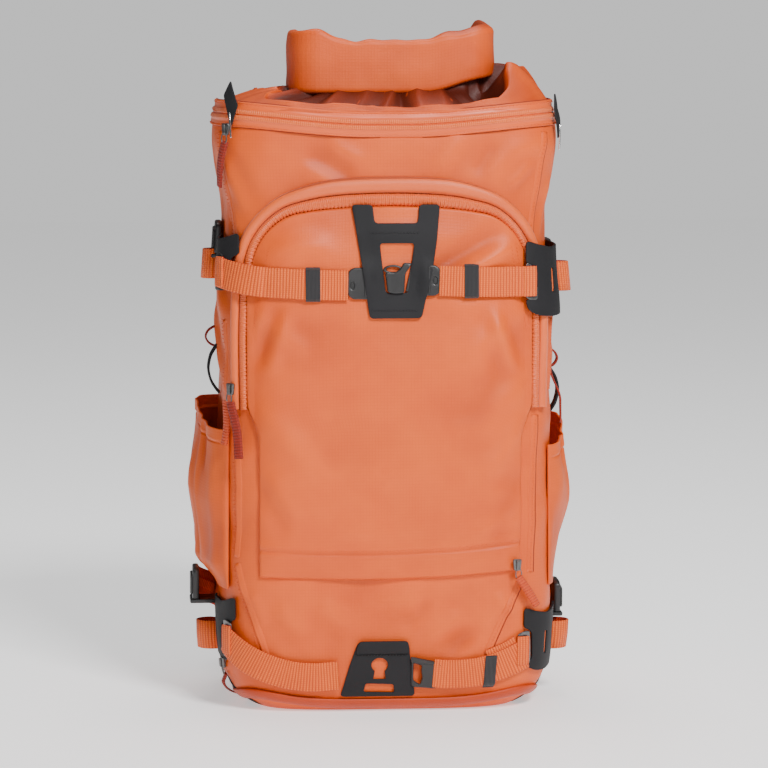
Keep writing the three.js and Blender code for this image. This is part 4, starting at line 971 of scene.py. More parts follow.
def oval(s, z, half_s, half_z, count=18):
    turn = np.linspace(0, 2 * math.pi, count, endpoint=False)
    return np.stack([s + half_s * np.cos(turn), z + half_z * np.sin(turn)], axis=1)


def cut_sheet(name, outline, thickness, bevel, lift, *holes, step=4.0):
    """A piece cut to an outline, with holes, its edges softened, laid on the bag."""
    bpy.ops.object.select_all(action="DESELECT")
    bpy.ops.curve.primitive_nurbs_path_add()
    piece = bpy.context.object
    curve = piece.data
    curve.splines.clear()
    for line in (outline, *holes):
        spline = curve.splines.new("POLY")
        spline.points.add(len(line) - 1)
        spline.points.foreach_set("co", np.pad(line * mm, ((0, 0), (0, 2)), constant_values=1).reshape(-1))
        spline.use_cyclic_u = True
    curve.dimensions, curve.fill_mode, curve.bevel_resolution = "2D", "BOTH", 1
    curve.extrude, curve.bevel_depth, curve.offset = (thickness / 2 - bevel) * mm, bevel * mm, -bevel * mm
    bpy.ops.object.convert(target="MESH")
    piece = bpy.context.object
    piece.name = piece.data.name = name
    bpy.ops.object.mode_set(mode="EDIT")
    bpy.ops.mesh.select_all(action="SELECT")
    bpy.ops.mesh.remove_doubles(threshold=1e-5)
    for axis, (low, high) in enumerate(zip(outline.min(axis=0), outline.max(axis=0))):
        for cut in np.arange(math.ceil(low / step) * step, high, step):
            place, normal = np.zeros(3), np.zeros(3)
            place[axis], normal[axis] = (cut + 0.013) * mm, 1.0
            bpy.ops.mesh.select_all(action="SELECT")
            bpy.ops.mesh.bisect(plane_co=place, plane_no=normal)
    bpy.ops.mesh.select_all(action="SELECT")
    bpy.ops.mesh.normals_make_consistent(inside=False)
    bpy.ops.object.mode_set(mode="OBJECT")
    x, y, h = (points_of(piece) / mm).T
    move_points(piece, bag_point(x, y, lift_at(lift, x, y) + h + thickness / 2))
    bpy.ops.object.shade_smooth_by_angle(angle=math.radians(42))
    return piece


def over_plates(s, z):
    """The upper patch, which bulges over the two buckle ends behind it."""
    bulge = np.exp(-(((z - 366) / 15) ** 4)) * smooth_step(np.abs(s - 4.5), 15, 24)
    return panel_out(s, z) + 0.6 * panel_relief(s, z) + 0.9 + 2.6 * bulge + 0.8 * smooth_step(-z, -352, -334)


def under_lower(s, z):
    return body_relief(s, z) * 0.5 + 1.0 + 0.9 * smooth_step(z, 50, 58)


patch_shift, upper_shift = np.array([4.5, 0.0]), np.array([4.0, 3.0])
upper_outline = upper_shift + rounded((
    (-36.3, 424.5), (-19.0, 424.5), (-17.6, 409.3), (18.2, 409.3), (19.4, 424.5), (36.7, 424.5), (34.0, 396.0), (30.4, 372.0),
    (24.6, 348.0), (20.8, 331.2), (-22.2, 331.2), (-24.6, 348.0), (-28.4, 374.0), (-32.4, 400.0),
), 3.4)
upper_window = upper_shift + rounded(((-13.5, 392.8), (15.0, 392.8), (9.4, 352.0), (-9.0, 352.0)), 2.6)
upper_patch = cut_sheet("tool_patch_top", upper_outline, 1.8, 0.35, over_plates, upper_window)
finish_piece(upper_patch, coated_black, "black_patch", "tool_patch_upper")

lower_outline = ((-46.4, 13.8), (16.6, 13.8), (14.6, 30.0), (10.6, 61.6), (-31.6, 61.6), (-39.0, 40.0))
lower_window = rounded(((-26.6, 18.2), (-0.8, 17.4), (-1.8, 24.6), (-25.2, 25.6)), 1.6)
key_turn = np.linspace(-0.30 * math.pi, 1.30 * math.pi, 18)
key_round = np.stack([-13.4 + 7.0 * np.cos(key_turn), 41.4 + 6.2 * np.sin(key_turn)], axis=1)
keyhole = np.vstack([key_round, [[-18.6, 29.4], [-8.2, 29.4]]])
lower_patch = cut_sheet("tool_patch_foot", patch_shift + rounded(lower_outline, 3.4), 1.8, 0.35, under_lower,
                        patch_shift + lower_window, patch_shift + keyhole)
finish_piece(lower_patch, coated_black, "black_patch", "tool_patch_lower")
folded_outline = patch_shift + rounded(((-34.2, 51.4), (12.2, 51.4), (10.2, 62.4), (-31.0, 62.4)), 3.0)
folded_tab = cut_sheet("tool_patch_fold", folded_outline, 2.2, 0.8, lambda s, z: under_lower(s, z) + 1.7)
finish_piece(folded_tab, coated_black, "black_patch")

patch_threads = []
for start, end, z, lift, high in (
    (-21.5, 20.5, 404.4, over_plates, 1.85), (-20.6, 19.6, 340.6, over_plates, 1.85), (-33.4, 11.6, 50.0, under_lower, 1.9),
):
    route = smooth_line(((start, z), (end, z)), 30) + patch_shift
    patch_threads.append(stitch_row(route, lambda s, z, lift=lift, high=high: lift(s, z) + high, 2.6, 1.2, 0.5))
black_thread = plain_finish("black_thread", 0.5, (900.0, 1.0), (0.003, 0.003, 0.003), (0.008, 0.008, 0.008), 0.0001)
finish_piece(joined("patch_stitches", patch_threads), black_thread, "black_patch")

# Buckles
# Moulded acetal ends that hook behind the patches: flat plates with a small oval hole, a hook with a
# cupped top in the upper window, and a plug end beside the lower patch.
acetal = plain_finish(
    "moulded_acetal", 0.36, (40.0, 2.0), (0.012, 0.012, 0.012), (0.024, 0.023, 0.024), 0.00006,
    (0.2, 0.26), ((2600.0, 1.0, 1.0),), Specular_IOR_Level=0.45,
)


def on_front(rise):
    """A height above the plain face of the front panel."""
    return lambda s, z: panel_out(s, z) + rise


plate_holes = []
for name, side, outer, inner, low, high, rim_s, rim_low, hole in (
    ("left", -1, 41.8, 23.0, 350.0, 376.0, -27.0, 352, (-37.0, 361.6)),
    ("right", 1, 37.2, 22.0, 352.6, 378.0, 26.0, 354, (31.6, 365.4)),
):
    plate_outline = patch_shift + rounded(np.array([
        (inner, low), (outer - 5.5, low), (outer - 1.5, low + 3), (outer, low + 9), (outer, high - 9), (outer - 1.5, high - 3),
        (outer - 5.5, high), (inner, high),
    ]) * (side, 1), 3.0)
    plate = cut_sheet("plate", plate_outline, 3.2, 1.1, on_front(0.3), patch_shift + oval(*hole, 1.6, 3.1))
    rim_wide = 1.6 if side < 0 else 1.4
    rim_outline = patch_shift + box(rim_s, rim_s + rim_wide, rim_low, rim_low + 22.6, 0.6)
    rim = cut_sheet("rim", rim_outline, 1.2, 0.4, on_front(3.2))
    plate_holes.append(cut_sheet("hole", patch_shift + oval(*hole, 2.2, 3.7), 2.2, 0.3, on_front(0.3)))
    finish_piece(joined("plate_" + name, [plate, rim]), acetal, "black_plastic", "buckle_plate_upper_" + name)
finish_piece(joined("plate_holes", plate_holes), black_thread, "black_plastic")

hook_shift = np.array([4.0, 4.4])
hook_outline = hook_shift + rounded((
    (-9.4, 367.6), (-7.4, 351.4), (-2.0, 350.2), (6.2, 350.6), (7.4, 367.0), (13.2, 375.4), (5.6, 375.6),
    (3.2, 370.6), (-1.2, 367.6),
), 1.6, 3)
stem_outline = hook_shift + rounded(((7.6, 352.0), (9.8, 352.0), (14.6, 374.4), (12.4, 374.6)), 0.8, 2)
cup_outline, cup_hole = hook_shift + oval(-2.8, 370.0, 8.0, 3.9, 28), hook_shift + oval(-2.8, 370.2, 5.6, 2.0, 24)
finish_piece(joined("hook_buckle", [
    cut_sheet("hook_face", hook_outline, 3.6, 1.2, lambda s, z: panel_out(s, z) + 1.6 + 0.6 * smooth_step(z, 366, 375)),
    cut_sheet("hook_cup", cup_outline, 2.6, 0.8, on_front(1.2), cup_hole),
    cut_sheet("hook_stem", stem_outline, 1.8, 0.6, on_front(0.4)),
]), acetal, "black_plastic", "centre_buckle")

plug_outline = patch_shift + rounded((
    (13.0, 22.4), (33.0, 20.4), (38.0, 22.0), (40.4, 27.0), (40.4, 38.0), (38.4, 42.4), (32.0, 44.6), (13.0, 48.6),
), 3.0)
plug_cut = patch_shift + rounded(((15.0, 28.0), (20.5, 24.4), (22.4, 30.0), (21.4, 37.0), (22.0, 41.0), (15.0, 43.0)), 1.6)
bar_outline = patch_shift + rounded(((12.6, 44.0), (32.0, 41.6), (33.0, 43.8), (12.6, 49.0)), 1.0, 2)


def plug_lift(s, z):
    return under_lower(s, z) - 0.4 + 1.6 * smooth_step(s, 14, 26)


finish_piece(joined("plug_buckle", [
    cut_sheet("plug_end", plug_outline, 3.6, 1.2, plug_lift, plug_cut, patch_shift + oval(35.0, 31.6, 1.3, 2.6)),
    cut_sheet("plug_bar", bar_outline, 1.8, 0.6, lambda s, z: plug_lift(s, z) + 3.0),
]), acetal, "black_plastic", "buckle_plate_lower_right")

# Straps
# Ribbed nylon webbing, 25 mm wide, orange with a dark red back. Across the front the straps are threaded
# through black elastic keepers and end in metal hooks at the corner patches.
web_profile = both_halves((
    (-12.1, 0.0, -12.3), (-12.5, 0.5, -12.6), (-12.5, 1.3, -12.4), (-12.0, 1.75, -12.0), (-10, 1.85, -10), (-4, 1.9, -4),
), (4, -0.05, 14), (-4, -0.05, -14))


def web_finish(name, light, gap, back, half=0.0123, roughness=0.62):
    """Ribbed webbing: ribs across it in pairs, a finer weave along it, and another colour behind."""
    web = Finish(name, roughness, Sheen_Weight=0.06, Sheen_Roughness=0.5, Specular_IOR_Level=0.3)
    u, v, _ = web.split(web.place("UV"))
    weave = web.waves(u, 0.0017)
    bead = web.waves(v, 0.0024).math("POWER", 0.7) * (weave * 0.45 + 0.55)
    tone = web.noise(web.place(), 45.0, 3.0)
    paint = web.blend((bead * 1.15 + tone * 0.3 - 0.2).limited(), (*gap, 1), (*light, 1))
    paint = web.blend(u.math("ABSOLUTE").math("GREATER_THAN", half) * (weave * 0.3 + 0.7), paint, (*back, 1))
    return web.show(paint, tone * 0.15 + (roughness - 0.08), bead + web.noise(web.place(), 800.0, 1.0) * 0.3, 0.0005)


orange_web = web_finish("orange_webbing", (0.93, 0.163, 0.016), (0.562, 0.0569, 0.00448), (0.39, 0.016, 0.00121))


def strap_height(s, z):
    """Height at which straps lie across the front and round its corners."""
    a = np.abs(s) / 127.0
    corner = smooth_step(a, 0.7, 0.84) * (1 - smooth_step(a, 1.1, 1.42))
    on_panel = np.where(z > panel_low, panel_out(s, z), 0) * (1 - smooth_step(a, 0.9, 1.0))
    low = 1.4 + 0.2 * smooth_step(np.abs(s), 95, 112)
    return np.where(z > panel_low, np.maximum(on_panel, 7.2 * corner), low)


def strap_lift(s, z):
    slack = 1.2 * np.sin(np.abs(s) / 9.5 + 0.6) * smooth_step(np.abs(s), 44, 54) * (1 - smooth_step(np.abs(s), 86, 100))
    return strap_height(s, z) + 2.0 + np.maximum(slack, -0.4) * np.where(z > panel_low, 0.5, 1.0)


front_routes = (
    ("upper_left", ((-36, 361.5), (-60, 362), (-84, 363), (-108, 364.5), (-143, 371))),
    ("upper_right", ((39.5, 365), (60, 364.2), (84, 363.6), (117, 363.4))),
    ("lower_left", ((-44, 33), (-66, 32), (-90, 35), (-116, 45), (-142, 61))),
    ("lower_right", ((36, 34), (52, 33), (72, 34.6), (86, 37.4), (99, 42), (112, 48))),
)
for name, points in front_routes:
    route = smooth_line(points, int(lengths(points)[-1] / 1.5))
    strap = strip_on_bag("strap_" + name, route, web_profile, strap_lift)
    finish_piece(strap, orange_web, "orange_webbing", "front_strap_" + name)
under_route = smooth_line(((84, 41), (98, 46.5), (110, 53)), 24)
under_strap = strip_on_bag("strap_fold", under_route, web_profile, lambda s, z: strap_lift(s, z) - 1.6)
finish_piece(under_strap, orange_web, "orange_webbing")

elastic = Finish("woven_elastic", 0.8, Sheen_Weight=0.2)
rows = elastic.waves(elastic.split(elastic.place())[0], 0.0011)
elastic.show(elastic.blend(rows, (0.008, 0.007, 0.008, 1), (0.024, 0.021, 0.023, 1)), None, rows, 0.0003)
keeper_half = 14.2
for name, s_from, s_to, middle_z, tilt, higher in (
    ("upper_left", -70.4, -58.6, 362.2, 0.0, 0), ("upper_right", 60.0, 71.6, 364.4, 0.0, 0),
    ("lower_right", 78.6, 88.4, 34.4, 0.9, 1.2),
):
    def over_strap(s, z, strap_z=middle_z + higher):
        return strap_lift(s, z) + 1.95 - 3.4 * smooth_step(np.abs(z - strap_z), 12.4, keeper_half + 0.2)

    low, high = middle_z - keeper_half, middle_z + keeper_half
    outline = rounded(((s_from - tilt, low), (s_to - tilt, low), (s_to + tilt, high), (s_from + tilt, high)), 0.8, 2)
    keeper = cut_sheet("keeper_" + name, outline, 1.1, 0.35, over_strap, step=1.6)
    finish_piece(keeper, elastic.material, "black_elastic", "strap_keeper_" + name)

# Corner patches
# Black coated patches wrapped round the bag's corners, notched where the front strap's metal hook enters
# and slotted for the side strap.
corner_rows = (
    # name, side, start, slot, top, bottom, strap height, side strap height,
    # rise of the buckle, its distance out, size of the tail
    ("upper_left", -1, 122.0, 18, 404.0, 356.0, 371.0, 380.0, 15.0, 0.0, 1.0),
    ("upper_right", 1, 110.0, 25, 397.0, 334.0, 363.0, 367.0, 12.0, 0.0, 1.5),
    ("lower_left", -1, 132.0, 18, 98.0, 42.0, 63.0, 66.0, 34.0, 16.0, 1.55),
    ("lower_right", 1, 113.0, 25, 88.0, 32.0, 55.0, 61.0, 24.0, 4.0, 1.6),
)
patch_end = 186.0
for name, side, start, slot_in, top, bottom, strap_z, *_ in corner_rows:
    half_slot = min(13.5, (top - bottom) / 2 - 5)
    outline = [(start + more, strap_z + half_slot + up) for more, up in ((0, 2), (5, 0), (7.5, -3))]
    outline += [(start + more, strap_z - half_slot - up) for more, up in ((7.5, -3), (5, 0), (0, 2))]
    outline += [(start + more, bottom + up) for more, up in ((2, 5), (12, 0), (26, -1), (46, 1))]
    outline += [(patch_end - 8, bottom + 3), (patch_end, bottom + 13), (patch_end, top - 8), (patch_end - 8, top - 3)]
    outline += [(start + more, top - down) for more, down in ((44, 5), (24, 6.5), (10, 3.5))]
    turned = rounded(np.array([(start, top), *outline]) * (side, 1), 4.0)
    slot_s = side * (start + slot_in)

    def round_corner(s, z, upper=top > panel_low):
        return 0.9 + (strap_height(s, z) if upper else body_relief(s, z) * 0.5 + 0.7) + 0.35 * np.sin(s / 7.0 + z / 11.0)

    slot = box(slot_s - 1.6, slot_s + 1.6, strap_z - 9.5, strap_z + 10.5, 1.2)
    patch = cut_sheet("corner_" + name, turned, 1.8, 0.4, round_corner, slot)
    finish_piece(patch, coated_black, "black_patch", "corner_patch_" + name)
    route = smooth_line(((slot_s - side * 7, strap_z + 0.5), (slot_s + side * 7, strap_z + 0.5)), 12)
    narrow_profile = [(a * 0.8, h * 0.35, u) for a, h, u in web_profile]
    tongue = strip_on_bag("corner_web_" + name, route, narrow_profile, lambda s, z: round_corner(s, z) - 0.15)
    finish_piece(tongue, orange_web, "orange_webbing")

# Strap hooks
# Flat gunmetal hooks at the outer ends of the front straps. The webbing is folded round them, and only
# their corners show above and below it.
gunmetal = plain_finish(
    "gunmetal", 0.34, (260.0, 3.0), (0.07, 0.07, 0.072), (0.22, 0.22, 0.215), 0.00005, (0.22, 0.24),
    ((1800.0, 1.0, 1.0),), Metallic=0.85,
)
fold_profile = [(a, h + 1.5 * math.cos(min(abs(a) / 12.5, 1) * 0.6), u) for a, h, u in web_profile]
for name, side, s, z, tilt in (
    ("upper_right", 1, 114.5, 363.4, 0), ("lower_right", 1, 113.0, 51.5, 7), ("upper_left", -1, -142.0, 371.0, -4),
    ("lower_left", -1, -141.0, 61.0, -8),
):
    outline = rounded(np.array([
        (-4.5 - side * tilt * 0.2, 14.0), (-1.0, 16.2), (4.6, 16.4), (5.4, 8), (5.4, -8), (4.6, -15.6),
        (-2.0, -15.4), (-5.0, -13.0),
    ]) * (side, 1) + (s, z), 1.6, 3)
    hook = cut_sheet("strap_hook_" + name, outline, 1.4, 0.45, lambda s, z: strap_lift(s, z) - 0.9 + 0.4 * np.sin(z / 6))
    finish_piece(hook, gunmetal, "slider_metal")
    route = smooth_line(((s - side * 7, z), (s + side * 2.8, z)), 14)
    fold = strip_on_bag("strap_end_" + name, route, fold_profile, lambda s, z: strap_lift(s, z) - 0.2)
    finish_piece(fold, orange_web, "orange_webbing")

# Side straps and buckles
# The compression straps go on from the corner patches round the sides, through side-release buckles, and
# their free ends are rolled into stiff loops that show at the bag's outline.


def webbing_loop(name, route, shape, lay, least):
    """A closed loop of webbing: its section is turned along a route of place and distance out, then laid on the bag."""
    route = np.asarray(route, float)
    run, length = run_of(route), lengths(route)
    shape = np.array([*shape, shape[0]])
    place = route[:, :1] + run[:, 1:] * shape[:, 1]
    d = np.maximum(route[:, 1:] - run[:, :1] * shape[:, 1], least)
    points = lay(shape[:, 0], place, d, length[:, None])
    ends = [row.mean(axis=0) + 0 * row for row in (points[0], points[-1])]
    points = np.array([ends[0], *points, ends[1]])
    uv = np.stack(np.broadcast_arrays(shape[:, -1], np.pad(length, 1, mode="edge")[:, None]), axis=-1) * mm
    return sheet_of(name, points, uv)


tail_shape = (
    (-12.4, 0.2, -12.4), (-12.5, 0.9, -12.4), (-12.1, 1.8, -12.1), (0, 1.85, 0), (12.1, 1.8, 12.1), (12.5, 0.9, 12.4),
    (12.4, 0.2, 12.4), (12.1, 0, 14), (0, -0.05, 15), (-12.1, 0, 14),
)
for name, side, *_, top, bottom, strap_z, side_z, rise, proud, tail in corner_rows:
    upper = top > panel_low
    starts = ((216, side_z if upper else side_z + rise), (262, side_z if upper else side_z + 14), (306, side_z))
    strap = strip_on_bag(
        "side_strap_" + name + "_web", smooth_line(np.array(starts) * (side, 1), 70), web_profile,
        lambda s, z, proud=proud: 0.7 + np.maximum(body_relief(s, z), -0.2) + proud * (1 - smooth_step(np.abs(s), 218, 250)),
    )
    finish_piece(strap, orange_web, "orange_webbing", "side_strap_" + name)
    low, high = side_z + rise - 14.5, side_z + rise + 14.5
    frame_outline = rounded(np.array([
        (187, low + 2), (193, low), (217, low), (221, low + 5), (221, high - 5), (217, high), (193, high), (187, high - 2),
    ]) * (side, 1), 3.0)
    bar_outline = rounded(np.array([(189, low + 6), (208, low + 4.5), (208, high - 4.5), (189, high - 6)]) * (side, 1), 3.0)
    finish_piece(joined("release_" + name, [
        cut_sheet("frame", frame_outline, 5.6, 1.6, 1.2 + proud, box(side * 212, side * 216, low + 4, high - 4, 1.2)),
        cut_sheet("bar", bar_outline, 2.6, 1.0, 6.2 + proud),
        cut_sheet("rail", box(side * 187, side * 217, low - 1.5, low + 2, 1.2), 8.0 + proud, 1.2, 0.9),
    ]), acetal, "black_plastic", "side_buckle_" + name)
    foot = 4.5 if upper else 2.5
    tail_route = smooth_line(np.array([
        (190, 0), (190, 4 * tail), (195, 8.4 * tail), (203, 9.8 * tail), (210, 8 * tail), (214, 3 * tail), (210, 0), (203, -0.3),
    ]) * (side, 1) + (0, foot), 46)[::-side]
    middle_z, lean = side_z - (6 if upper else 10), 0.02 * side

    def upright(a, s, d, along, middle_z=middle_z, lean=lean):
        return bag_point(s, middle_z + a + lean * along, d)

    loop = webbing_loop("tail_" + name, tail_route, tail_shape, upright, 0.5)
    finish_piece(loop, orange_web, "orange_webbing", "strap_tail_" + name)

# Side pockets
# Open pockets of the body's cloth low on both sides, gathered at the foot, with a hemmed rim that stands
# away from the bag.
pocket_low, pocket_end = 104.0, 312.0


def rim_height(s):
    return np.interp(s, (141, 168, 198, 240, 280, 312), (238, 240, 245, 254, 253, 250))


pocket_cloth = ripstop("pocket_cloth", (0.8, 0.121, 0.0087), (0.6, 0.0698, 0.00475), 0.5)
pocket_folds = (
    (176, 120, 186, 236, 5, 1.6), (190, 110, 204, 220, 6, -1.3), (212, 112, 226, 200, 7, 1.4), (250, 110, 246, 230, 9, 1.4),
    (286, 110, 280, 220, 8, -1.4), (170, 200, 182, 244, 4, -1.2),
)
pocket_rows, pocket_columns = 190, 200
for name, side, seed, pocket_start, bulge, drop, swell in (
    ("left", -1, 61, 141.0, 22.0, 0, 0.16), ("right", 1, 62, 143.0, 17.0, 15, 0.6),
):
    s = np.linspace(pocket_start, pocket_end, pocket_columns)[None, :]
    up = np.linspace(0, 1, pocket_rows)[:, None]
    top = rim_height(s) - drop
    z = pocket_low + up * (top - pocket_low)
    across = np.clip((s - pocket_start) / (pocket_end - pocket_start), 0, 1)
    full = np.sin(math.pi * across) ** 0.6 * np.minimum(1, 0.62 + 0.7 * up) * (1 - 0.25 * smooth_step(up, 0.6, 1))
    full = full * smooth_step(up, -0.02, swell)
    gather = 1 - smooth_step(up, 0.0, 0.5)
    wrinkles = ripple(s * 1.6, z * 0.45, 34, 1.3, seed) * (0.5 + gather)
    wrinkles = wrinkles + ripple(s, z, 80, 1.2, seed + 4) + folds(s, z, pocket_folds)
    hem = 0.7 * smooth_step(z, top - 11.5, top - 10.3) - 0.9 * np.exp(-((top - z - 11.0) ** 2))
    relief = wrinkles * np.clip(full * 2.2, 0, 1) + hem
    d = 2.7 + bulge * full + relief * np.clip(across * 22, 0, 1) * np.clip((1 - across) * 22, 0, 1)
    s, d, z, relief = [np.pad(np.broadcast_to(a, z.shape), ((1, 0), (1, 1)), mode="edge").copy() for a in (s, d, z, relief)]
    d[0], d[:, 0], d[:, -1] = 1.4, 1.4, 1.4
    points = bag_point(side * s, z, d)
    pocket = sheet_of("pocket_" + name, points)
    # Painted shade: the pocket's wrinkle and hem heights, scaled down, darken its cloth where they dip.
    relief_at(pocket, points, relief * 0.35)
    thicken(pocket, 0.0013, -1)
    finish_piece(pocket, pocket_cloth, "orange_fabric", "side_pocket_" + name)

# Side loops and handles
# Small sewn loops of dark red webbing that stand off the sides of the bag, and a flat handle of coated
# cloth below each.
red_web = web_finish("dark_red_webbing", (0.30, 0.018, 0.005), (0.19, 0.011, 0.004), (0.12, 0.007, 0.003), half=0.02)
loop_down = ((1, 1.0), (0, 4.0), (-3, 8.2), (-7.5, 10.2), (-12, 8.2), (-14.5, 4.0), (-15, 1.0))
grip_down = ((2, 0.8), (-1.5, 3.6), (-8, 7.4), (-18, 9.4), (-28, 7.4), (-34.5, 3.6), (-38, 0.8))
for kind, name, s, z, down, count, half, thick, material, slot, node in (
    ("side_loop_", "left", -212.0, 318.0, loop_down, 40, 4.2, 1.6, red_web, "orange_webbing", "gear_loop_"),
    ("side_loop_", "right", 208.0, 298.0, loop_down, 40, 4.2, 1.6, red_web, "orange_webbing", "gear_loop_"),
    ("side_grip_", "left", -196.0, 303.0, grip_down, 60, 7.5, 2.0, coated_black, "black_patch", "side_handle_"),
    ("side_grip_", "right", 196.0, 283.0, grip_down, 60, 7.5, 2.0, coated_black, "black_patch", "side_handle_"),
):
    shape = both_halves(((-half, 0.2), (-half - 0.1, thick / 2), (-half + 0.4, thick)), (half - 0.4, 0), (0, 0), (-half + 0.4, 0))
    shape.insert(3, (0, thick + 0.1))
    route = smooth_line(np.array(down) + (z, 0), count)
    loop = webbing_loop(kind + name, route, shape, lambda a, z, d, along: bag_point(s + a, z, d), 0.3)
    finish_piece(loop, material, slot, node + name)

# Leaf tabs
# Kite-shaped tabs of black coated cloth at the ends of the top zip, each with a silver pin through it,
# and the dark red pull that hangs into the right pocket.
steel = plain_finish(
    "polished_steel", 0.22, (900.0, 2.0), (0.62, 0.62, 0.61), (0.80, 0.80, 0.78), 0.00003, (0.16, 0.16), Metallic=1.0,
)
for name, side, middle, top in (("left", -1, 131.0, 529.0), ("right", 1, 150.0, 518.0)):
    kite, pin_outline = [
        rounded((np.array(outline) + (middle, top)) * (side, 1), radius, 2) for outline, radius in (
            (((0, 0), (6.5, -12), (-1, -38), (-7.5, -20)), 1.4), (((-1, -26), (0.6, -26), (-1, -47), (-2.4, -47)), 0.4),
        )
    ]
    tab = cut_sheet("leaf_" + name, kite, 1.5, 0.4, lambda s, z: 4.6 + 1.2 * np.sin((top - z) / 12), step=3.0)
    finish_piece(tab, coated_black, "black_patch", "leaf_tab_" + name)
    finish_piece(cut_sheet("leaf_pin_" + name, pin_outline, 1.3, 0.5, 6.4), steel, "slider_metal")
pull_profile = [(a * 0.32, h * 0.9, u * 0.32) for a, h, u in web_profile]
pull_route = smooth_line(((164, 287), (170, 272), (171, 254), (166, 240)), 40)
pull = strip_on_bag("pocket_pull", pull_route, pull_profile, lambda s, z: 0.8 + 9 * smooth_step(-z, -286, -258))
finish_piece(pull, red_web, "orange_webbing")

# Zip sliders and tags
# Gunmetal sliders with wire rings. Their tags are short lengths of folded webbing, orange or dark red.
tag_profile = both_halves(((-2.9, 0.0, -4), (-3.1, 1.0, -4.2), (-2.8, 2.0, -3.8), (-1.3, 2.4, -1.8)), (0, -0.1, 0))
tag_web = web_finish("tag_webbing", (0.62, 0.072, 0.012), (0.48, 0.042, 0.008), (0.45, 0.04, 0.006), half=0.02)
slider_rows = (
    # name, s, top, distance out, tags: s at the end, length, material, node
    ("top_left", -134.0, 494.0, 6.0, ((-147, 43, red_web, "zip_tag_top_left"),)),
    ("panel_left", -130.0, 279.0, 7.6, ((-137, 42, tag_web, "zip_tag_panel_left_1"), (-121, 52, red_web, "zip_tag_panel_left_2"))),
    ("panel_right", 104.0, 131.0, 7.4, ((121, 31, tag_web, "zip_tag_panel_right"),)),
    ("base_left", -153.0, 43.0, 1.8, ((-160, 28, red_web, "zip_tag_base_left"),)),
)
for name, s, top, out, tags in slider_rows:
    ring_s, ring_z = s + 0.05 * (tags[0][0] - s), top - 12.5
    body_outline = rounded(((s - 3.6, top), (s + 3.6, top), (s + 2.6, top - 10), (s - 2.6, top - 10)), 1.6, 3)
    bridge_outline = rounded(((s - 1.2, top - 1), (s + 1.2, top - 1), (s + 1.2, top - 9), (s - 1.2, top - 9)), 0.8, 3)
    finish_piece(joined("slide_" + name, [
        cut_sheet("body", body_outline, 2.6, 0.7, out), cut_sheet("bridge", bridge_outline, 2.2, 0.8, out + 2.4),
        cut_sheet("ring", oval(ring_s, ring_z, 2.8, 5.0), 1.0, 0.4, out + 2.0, oval(ring_s, ring_z, 1.9, 4.1)),
    ]), gunmetal, "slider_metal", "slider_" + name)
    for index, (end_s, long, material, node) in enumerate(tags):
        from_s = ring_s + (index - (len(tags) - 1) / 2) * 6
        middle = ((from_s + end_s) / 2 + 0.8, top - 15 - long * 0.45)
        route = smooth_line(((from_s, top - 15), middle, (end_s, top - 10 - long)), 40)
        tag = strip_on_bag(
            "tag_" + node[8:], route, tag_profile,
            lambda s, z: out + 0.6 + 2.6 * index + 0.8 * np.sin(z / 8) + 3.2 * smooth_step(-z, -27, -19),
        )
        finish_piece(tag, material, "red_tag", node)

# Harness
# The carrying side: a ridged foam back pad, two curved shoulder straps, a hip belt and a webbing grab
# handle, covered with black spacer mesh and bound at the edges.
mesh_cloth = Finish("spacer_mesh", 0.85, Sheen_Weight=0.3, Sheen_Roughness=0.6)
u, v, _ = mesh_cloth.split(mesh_cloth.place("UV"))
cells = mesh_cloth.waves(u + v * 0.5, 0.0031) * mesh_cloth.waves(v, 0.0027)
mesh_tone = mesh_cloth.noise(mesh_cloth.place(), 20.0, 3.0)
mesh_paint = mesh_cloth.blend((1 - cells) * 0.8 + mesh_tone * 0.2, (0.006, 0.006, 0.006, 1), (0.030, 0.029, 0.031, 1))
mesh_cloth.show(mesh_paint, None, 1 - cells, 0.0006)
pad_half, pad_low, pad_high, pad_face, pad_round = 108.0, 70.0, 460.0, 92.6, 26
x = np.linspace(-1, 1, 181)[None, :]
z = np.linspace(pad_low, pad_high, 301)[:, None]
from_end = np.minimum(z - pad_low, pad_high - z)
corner_in = 22 * (1 - np.sqrt(1 - np.clip(1 - from_end / pad_round, 0, 1) ** 2))
x = x * (pad_half - corner_in)
from_edge = np.minimum(pad_half - corner_in - np.abs(x), from_end)
ridge = np.clip(1 - (np.abs(np.abs(x) - 58) / 50) ** 3, 0, 1) * np.sqrt(np.clip(from_end / pad_round, 0, 1))
channels = sum(np.exp(-(((z - level) / 4.0) ** 2)) for level in (150, 232, 314, 392))
thick = 3 + 11 * ridge * (1 - 0.45 * channels * (np.abs(x) > 20))
thick *= np.sqrt(np.clip(from_edge / 9, 0, 1)) * 0.6 + 0.4
points = np.pad(np.stack([x, pad_face + 0.4 + thick, z + 0 * x], axis=-1), ((1, 1), (1, 1), (0, 0)), mode="edge")
points[0, :, 1] = points[-1, :, 1] = points[:, 0, 1] = points[:, -1, 1] = pad_face
back_pad = sheet_of("back_pad_foam", around_centre(points))
bpy.ops.object.mode_set(mode="EDIT")
bpy.ops.mesh.select_all(action="DESELECT")
bpy.ops.mesh.select_non_manifold()
bpy.ops.mesh.edge_face_add()
bpy.ops.mesh.select_all(action="SELECT")
bpy.ops.mesh.normals_make_consistent(inside=False)
bpy.ops.object.mode_set(mode="OBJECT")
finish_piece(back_pad, mesh_cloth.material, "black_mesh", "back_pad")


